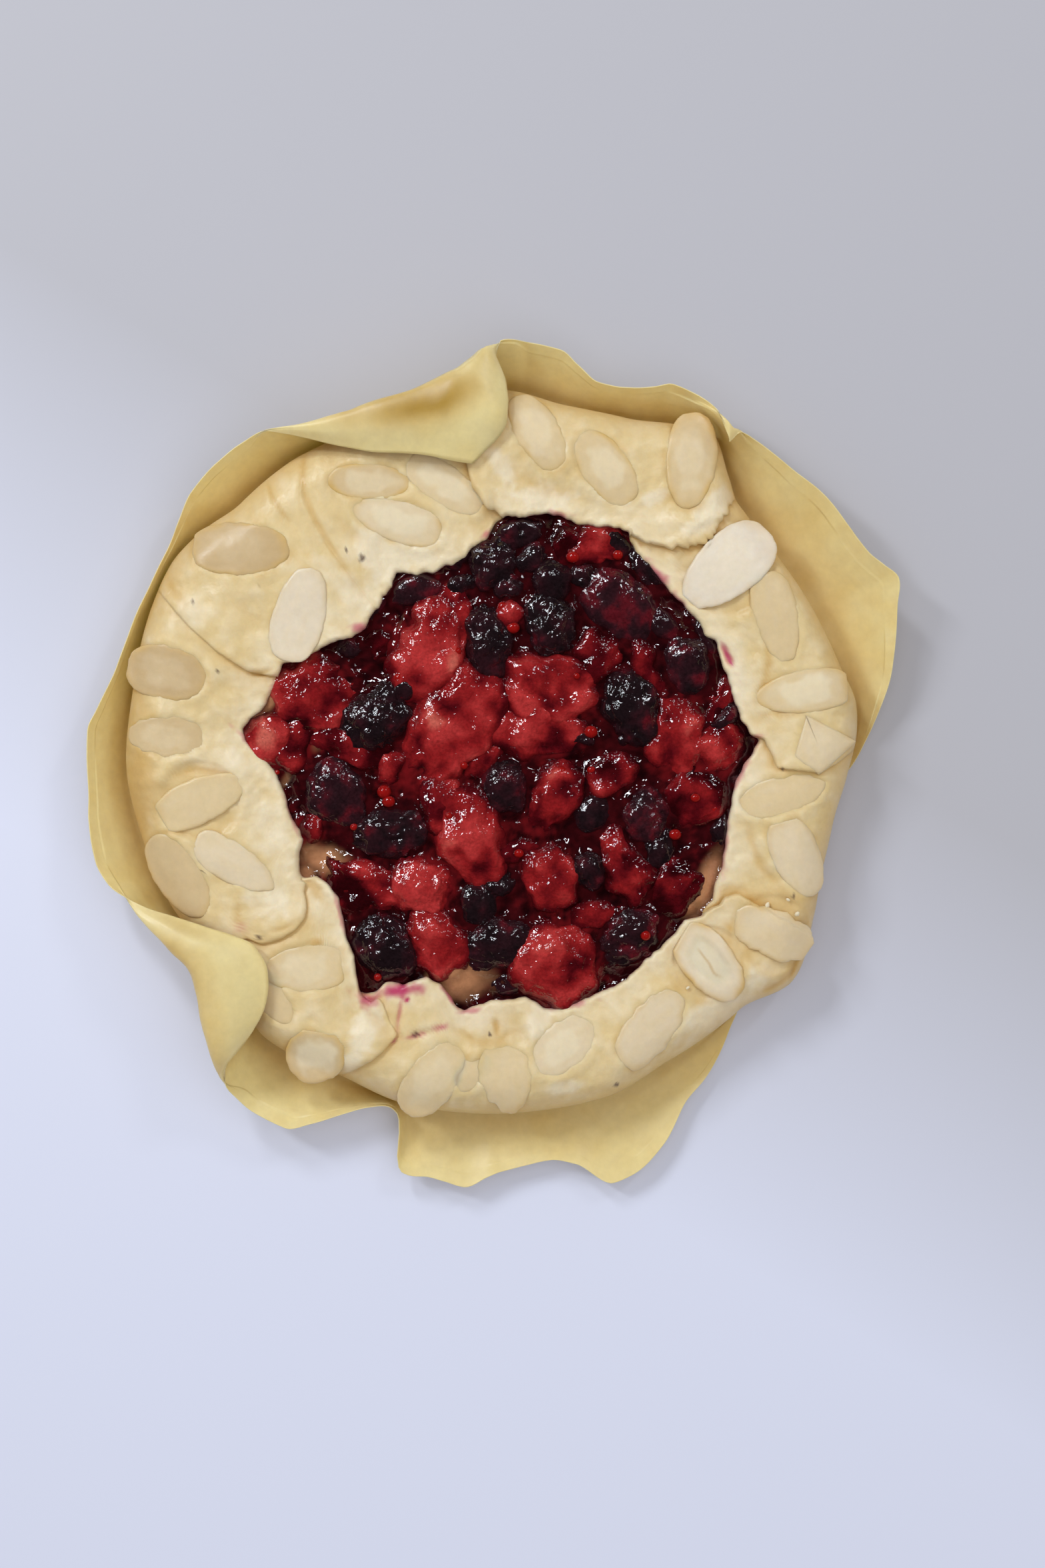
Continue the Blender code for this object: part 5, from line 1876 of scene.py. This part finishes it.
# Where it folds or curls over: degrees, radius and height of the bend; then degrees on from
# there, radius and height of the middle of the part beyond; then the same for its free edge.
PAPER_FOLDS = (
    (52, 107.2, 18.5, 0, 107.9, 18.8, -0.3, 107.6, 19.4),
    (53.6, 106.6, 18.5, -0.8, 106.9, 20.6, -1.4, 103.6, 20.2),
    (55, 107.2, 19, -0.9, 107.4, 21.4, -2.4, 104.2, 21.2),
    (56.6, 107.8, 19, 0, 108.4, 19.8, -0.3, 108.6, 20.4),
    (86.5, 107.6, 19, 0, 108.6, 19.8, 0, 109, 20.6),
    (88.4, 107.4, 20.5, 0, 108.2, 21.2, 0, 108.4, 22),
    (89.6, 106.9, 22, -0.3, 105.4, 22, -0.3, 103.4, 21),
    (90.6, 106, 24, -2.4, 100, 22.4, -0.8, 94, 20.9),
    (91.3, 104.8, 25, -4.2, 94.5, 23, -0.2, 84, 21.9),
    (92, 103.2, 25.6, -4.9, 87.4, 24.4, 1.4, 75.6, 22.9),
    (93.4, 101.6, 26, -4.4, 87.6, 26.4, 1.4, 75.9, 23.3),
    (95, 100, 26, -2.4, 88.6, 27.4, 1.1, 76.3, 23.5),
    (98, 98.4, 26, -0.6, 88.2, 27.4, 0.6, 77.4, 23.7),
    (103, 96.9, 26, 0, 88.6, 27.2, 0, 79.8, 23.8),
    (111, 96.7, 25.5, 0, 90.8, 26.6, 0, 84.2, 23.6),
    (116.5, 97.6, 24.5, 0, 94, 25.6, 0, 89.8, 23),
    (120.5, 99.6, 23, 0, 98, 24, 0, 95.7, 22.4),
    (123.2, 101.8, 21.5, 0, 101.4, 22.2, 0, 100.2, 21.6),
    (125.8, 103.7, 19.5, 0, 104, 19.9, 0, 104.2, 20.3),
    (202.3, 103.8, 19.5, 0, 104, 20.1, 0, 103.6, 20.5),
    (205, 102.8, 22, 0, 101.6, 23.2, 0, 99.3, 22.6),
    (207.7, 101.6, 23.5, 0, 98.5, 25.2, 0, 94.4, 23.4),
    (211.6, 99.6, 25, 0, 94.5, 26.8, 0, 88.6, 23.9),
    (215.8, 97.9, 25.5, 0, 91, 27.6, 0, 83.6, 24),
    (219.7, 100.1, 25.5, 0, 91.5, 27.8, 0, 80.8, 24.2),
    (223, 103.6, 25.5, 0, 94.2, 27.8, 0, 81.4, 24.2),
    (226.3, 107.2, 25, 0, 98, 27.2, 0, 84.6, 24),
    (228.5, 109.9, 23, 0.2, 103, 25.6, 0.5, 90.9, 23.8),
    (229.8, 111.6, 20.5, 0.1, 107, 23.2, 0.2, 99.6, 22.8),
    (230.7, 112.6, 18, -0.6, 110.5, 20, -1, 107.5, 21),
    (231.7, 113.2, 15.6, 0, 113.5, 16.4, 0, 113.8, 17.2),
)


# Painted shade in deeper bands across the folded parts: the line, half width and strength
PAPER_PAINTED_SHADE = (
    (((-36, 87), (-24, 89), (-13, 91), (-5, 96), (-2, 102)), 4.6, 0.9),
    (((-84, -52), (-81, -62), (-82, -70), (-85, -80)), 3.2, 0.85),
    (((-90, -42), (-80, -47), (-72, -50)), 1.8, 0.3),
)


@dataclass
class BakingPaper:
    """The sheet: flat under the dough, standing up round it, and turned in over it in places."""

    rim: Rim
    columns: int = 720
    flat_rings: int = 5
    rise_rings: int = 12
    bend_rings: int = 2  # the first of the rings beyond the bend, which still stand up
    over_rings: int = 20
    thick: float = 0.22
    level: float = 0.16  # height of its middle surface where it lies flat
    foot_gap: float = 0.8  # mm from the dough to where it starts to rise
    least_rise: float = 1.5  # mm out from there to its bend, at the least
    rise: Knots = ((0.33, 0.30), (0.67, 0.645))  # shares out and up on the way to the bend
    upright: tuple[float, ...] = (0.8, 0.9, 1.0)  # the same for bend, middle and end of no fold

    # The light yellow is the paper's own cloudy tone and also painted light on the folded parts; the deep
    # yellow and the brown are painted shade.
    YELLOW = srgb(240, 215, 158)
    LIGHT = srgb(241, 214, 152)
    DEEP = srgb(196, 152, 68)
    BROWN = srgb(168, 128, 14)

    def foot(self, degrees: Array, bend: Array) -> Array:
        """Radius at which it starts to rise: just off the dough, and short of its bend."""
        return np.minimum(self.rim.outside(degrees) + self.foot_gap, bend - self.least_rise)

    def controls(self, degrees: Array) -> Array:
        """The points that each column's profile passes through, from the dough's foot outwards.

        Args:
            degrees: The columns' angles at their foot.

        Returns:
            Points in mm by control and column.
        """
        rows = list(PAPER_FOLDS)
        for angle, out, up in PAPER_EDGE:
            foot = float(self.foot(angle, out))
            bend, middle, end = ((foot + part * (out - foot), part * up) for part in self.upright)
            rows.append((angle, *bend, 0, *middle, 0, *end))
        knots = [tuple((row[0], row[item]) for row in rows) for item in range(1, 9)]
        curves = [ClosedCurve(line)(degrees) for line in knots]
        bend_out, bend_up, mid_turn, mid_out, mid_up, end_turn, end_out, end_up = curves
        foot = self.foot(degrees, bend_out)
        stops = [(0, foot, 0)]
        stops += [(0, foot + out * (bend_out - foot), up * bend_up) for out, up in self.rise]
        stops += [(0, bend_out, bend_up), (mid_turn, mid_out, mid_up), (end_turn, end_out, end_up)]
        return np.stack([polar(out, degrees + turn, up + self.level) for turn, out, up in stops])

    def swept(self, stops: Array) -> Array:
        """Rings of the rising and folded part: a smooth curve through each column's controls.

        Between two controls the curve is the cubic whose slope at each is half the step between
        its neighbours.

        Args:
            stops: Points by control and column.

        Returns:
            Points by ring and column.
        """
        net = np.concatenate([stops[:1] * [0.94, 0.94, 1], stops, 2 * stops[-1:] - stops[-2:-1]])
        rings = []
        for span, number in enumerate([self.rise_rings // 3] * 3 + [self.over_rings // 2] * 2):
            before, low, high, after = net[span : span + 4]
            slope = high - before
            bend = 2 * before - 5 * low + 4 * high - after
            twist = 3 * low - before - 3 * high + after
            for t in np.arange(number) / number:
                rings.append(0.5 * (2 * low + slope * t + bend * t**2 + twist * t**3))
        return np.stack([*rings, stops[-1]])

    def wrinkled(
        self, rings: Array, past: Array, soft: Array, fine: Array
    ) -> Array:
        """The sheet with its wrinkles, where it has left the table.

        They go in and out where it stands, and mostly up and down where it lies over the dough.

        Args:
            rings: Points by ring and column.
            past: How far past the bend each ring is.
            soft: Noise in broad lumps, for each point.
            fine: Noise in small ones.

        Returns:
            The points, moved.
        """
        crease = np.abs(waves(rings * [1, 1, 0.5], 22, 321, 2))
        lifted = fade(1.0, 8.0, rings[..., 2])
        sway = lifted * (0.4 * soft - 0.5 * crease + 0.2 + 0.05 * fine)
        out = rings[..., :2] / np.linalg.norm(rings[..., :2], axis=-1, keepdims=True)
        moved = rings.copy()
        moved[..., :2] += out * (sway * np.where(past < 0, 1.0, 0.25))[..., None]
        moved[..., 2] += sway * np.where(past < 0, 0.2, 0.8)
        moved[..., 2] = np.maximum(moved[..., 2], self.level)
        return moved

    def tone(
        self, rings: Array, past: Array, lumps: Array, folded: Array, right: Array
    ) -> Array:
        """Its colour: cloudy yellow, with painted shade low down, at the right and round the folds'
        bends, and painted light on the parts folded over.

        Args:
            rings: Points by ring and column.
            past: How far past the bend each ring is.
            lumps: Noise for each point.
            folded: How far each column is folded over, 0 to 1.
            right: How far each column is at the right, 0 to 1.

        Returns:
            A row of colour for each point.
        """
        cloud = waves(rings, 7.0, 341, 3)
        tone = blend(self.YELLOW, self.LIGHT, 0.3 + lumps + 0.4 * cloud)
        # Painted shade at the right.
        tone = blend(tone, self.DEEP, 0.17 * right + 0.10 * cloud)
        # Painted shade low down, in the trough by the dough.
        tone = blend(tone, self.DEEP, 0.25 * fade(9.0, 0.5, rings[..., 2]))
        # Painted shade round each fold's bend, and painted light on the part folded over.
        tone = blend(tone, self.DEEP, folded * 0.35 * fade(0.62, 0.0, np.abs(past)) ** 1.3)
        tone = blend(tone, self.LIGHT, folded * 0.8 * fade(0.45, 1.0, past))
        # Painted shade in bands across the folds.
        for path, wide, strength in PAPER_PAINTED_SHADE:
            gap, along = path_place(rings[..., 0].ravel(), rings[..., 1].ravel(), path)
            bell = np.exp(-((gap / wide) ** 2)) * np.sin(math.pi * np.clip(along, 0.08, 0.92))
            tone = blend(tone, self.BROWN, strength * bell.reshape(tone.shape[:2]) * (past > -0.3))
        return tone

    def build(self) -> bpy.types.Object:
        """Builds the sheet's middle surface, wrinkles it, and gives it its thickness.

        Returns:
            The piece.
        """
        degrees = np.arange(self.columns) * 360 / self.columns
        stops = self.controls(degrees)
        flat = [stops[0] * [share, share, 1] for share in np.linspace(0.2, 0.97, self.flat_rings)]
        rings = np.concatenate([flat, self.swept(stops)])
        bend = self.flat_rings + self.rise_rings + self.bend_rings
        past = (np.arange(len(rings)) - bend)[:, None] / self.over_rings
        soft, fine = waves(rings, 16, 311, 2), waves(rings, 3.0, 331)
        rings = self.wrinkled(rings, past, soft, fine)
        width = np.linalg.norm(stops[5, :, :2] - stops[3, :, :2], axis=-1)
        folded = fade(4.0, 11.0, width) * fade(91.5, 98.0, degrees)
        # How much painted shade the paper takes at the right.
        right = np.exp(-(((degrees - 34) / 22) ** 2))
        tint = self.tone(rings, past, 0.6 * soft + 0.2 * fine, folded, right).reshape(-1, 3)
        solid = capped(rings, np.array([0, 0, self.level]), np.zeros(3))
        solid.tris = solid.tris[: self.columns]
        solid.points = solid.points[:-1]
        solid.tint = np.concatenate([tint, tint[:1]])
        piece = make_piece("paper_sheet", solid, GREASED_PAPER)
        thickness = piece.modifiers.new("thickness", "SOLIDIFY")
        thickness.thickness = self.thick * MM
        thickness.offset = 0
        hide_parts("baking_paper")
        return piece


# -------- the studio


@dataclass(frozen=True)
class Lamp:
    """A rectangular light that faces the galette."""

    name: str
    x: float
    y: float
    z: float
    width: float
    height: float
    watts: float
    colour: tuple[float, float, float] = (1.0, 1.0, 1.0)
    seen_in_gloss: bool = True


@dataclass
class Studio:
    """A pale floor, brighter at the front by painted light, soft light from above, two window panes,
    and a camera overhead.
    """

    floor_side: float = 4.0
    camera_x: float = 0.00857
    camera_y: float = -0.00893
    camera_above: float = 0.598
    lens: float = 50.0
    ambient: float = 0.40
    lamps: tuple[Lamp, ...] = (
        Lamp("overhead", 0.35, -0.15, 1.4, 1.8, 1.8, 8.6, (1.0, 0.99, 0.97), False),
        Lamp("left_pane", -0.62, 0.42, 0.72, 0.11, 0.26, 2.6, (0.88, 0.94, 1.0)),
        Lamp("right_pane", -0.36, 0.68, 0.72, 0.11, 0.26, 2.6, (0.88, 0.94, 1.0)),
        Lamp("far_pane", 0.60, 0.70, 0.80, 0.10, 0.22, 1.2, (0.90, 0.95, 1.0)),
    )

    def floor(self) -> None:
        """Lays a square floor painted with light: greyer at the back, bluer and brighter in front."""
        mesh = bpy.data.meshes.new("floor")
        half = self.floor_side / 2
        corners = [(-half, -half, 0), (half, -half, 0), (half, half, 0), (-half, half, 0)]
        mesh.from_pydata(corners, [], [(0, 1, 2, 3)])
        material = bpy.data.materials.new("floor")
        material.use_nodes = True
        nodes = material.node_tree.nodes
        place = nodes.new("ShaderNodeTexCoord").outputs["Object"]
        slope = nodes.new("ShaderNodeVectorMath")
        slope.operation = "DOT_PRODUCT"
        feed(slope, {0: place, 1: (0.6, 1.0, 0.0)})
        ramp = nodes.new("ShaderNodeMapRange")
        feed(ramp, {"Value": slope.outputs["Value"], "From Min": 0.06, "From Max": -0.10})
        mix = nodes.new("ShaderNodeMix")
        mix.data_type = "RGBA"
        # Painted light and shade: darker and greyer at the back, brighter and bluer at the front.
        near, far = (*srgb(187, 185, 191), 1), (*srgb(222, 224, 241), 1)
        feed(mix, {"A": near, "B": far, "Factor": ramp.outputs["Result"]})
        colour = mix.outputs["Result"]
        matt = {"Base Color": colour, "Roughness": 0.8, "Specular IOR Level": 0.1}
        feed(nodes["Principled BSDF"], matt)
        mesh.materials.append(material)
        floor = bpy.data.objects.new("floor", mesh)
        bpy.context.scene.collection.objects.link(floor)
        floor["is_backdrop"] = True

    def light(self) -> None:
        """Hangs the lamps, each facing the middle of the galette, and sets the faint sky."""
        for lamp in self.lamps:
            data = bpy.data.lights.new(lamp.name, "AREA")
            data.shape = "RECTANGLE"
            data.size, data.size_y = lamp.width, lamp.height
            data.energy = lamp.watts
            data.color = lamp.colour
            light = bpy.data.objects.new(lamp.name, data)
            light.location = (lamp.x, lamp.y, lamp.z)
            light.rotation_euler = (-light.location).to_track_quat("-Z", "Y").to_euler()
            light.visible_glossy = lamp.seen_in_gloss
            light.visible_camera = False
            bpy.context.scene.collection.objects.link(light)
        world = bpy.data.worlds.new("studio")
        world.use_nodes = True
        sky = world.node_tree.nodes["Background"]
        sky.inputs["Color"].default_value = (0.93, 0.96, 1.0, 1)
        sky.inputs["Strength"].default_value = self.ambient
        world.cycles_visibility.glossy = False
        bpy.context.scene.world = world

    def camera(self) -> None:
        """Sets the camera straight above, with the far side of the galette at the top."""
        data = bpy.data.cameras.new("camera")
        data.lens = self.lens
        data.sensor_width = 36.0
        camera = bpy.data.objects.new("camera", data)
        camera.location = (self.camera_x, self.camera_y, self.camera_above)
        bpy.context.scene.collection.objects.link(camera)
        bpy.context.scene.camera = camera

    def build(self) -> None:
        """Builds the floor, the light and the camera, and keeps colours plain."""
        self.floor()
        self.light()
        self.camera()
        bpy.context.scene.view_settings.view_transform = "Standard"


def note_size(sizes: list[list[float]]) -> None:
    """Adds the shown object's lowest and highest corner to a list, in metres."""
    low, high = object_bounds()
    sizes.append([*low, *high])


def main() -> None:
    """Builds every piece from the paper up, then the studio."""
    logging.basicConfig(level=logging.INFO, format="%(name)s %(message)s")
    sizes: list[list[float]] = []
    note_size(sizes)
    rim = Rim()
    BakingPaper(rim).build()
    Dough(rim).build()
    AlmondFlakes(rim).build()
    compote = Compote(rim)
    compote.build()
    StrawberryPieces().build()
    DarkBerries().build()
    LooseDrupelets(compote).build()
    Crumbs(rim).build()
    Studio().build()
    note_size(sizes)


if __name__ == "__main__":
    main()
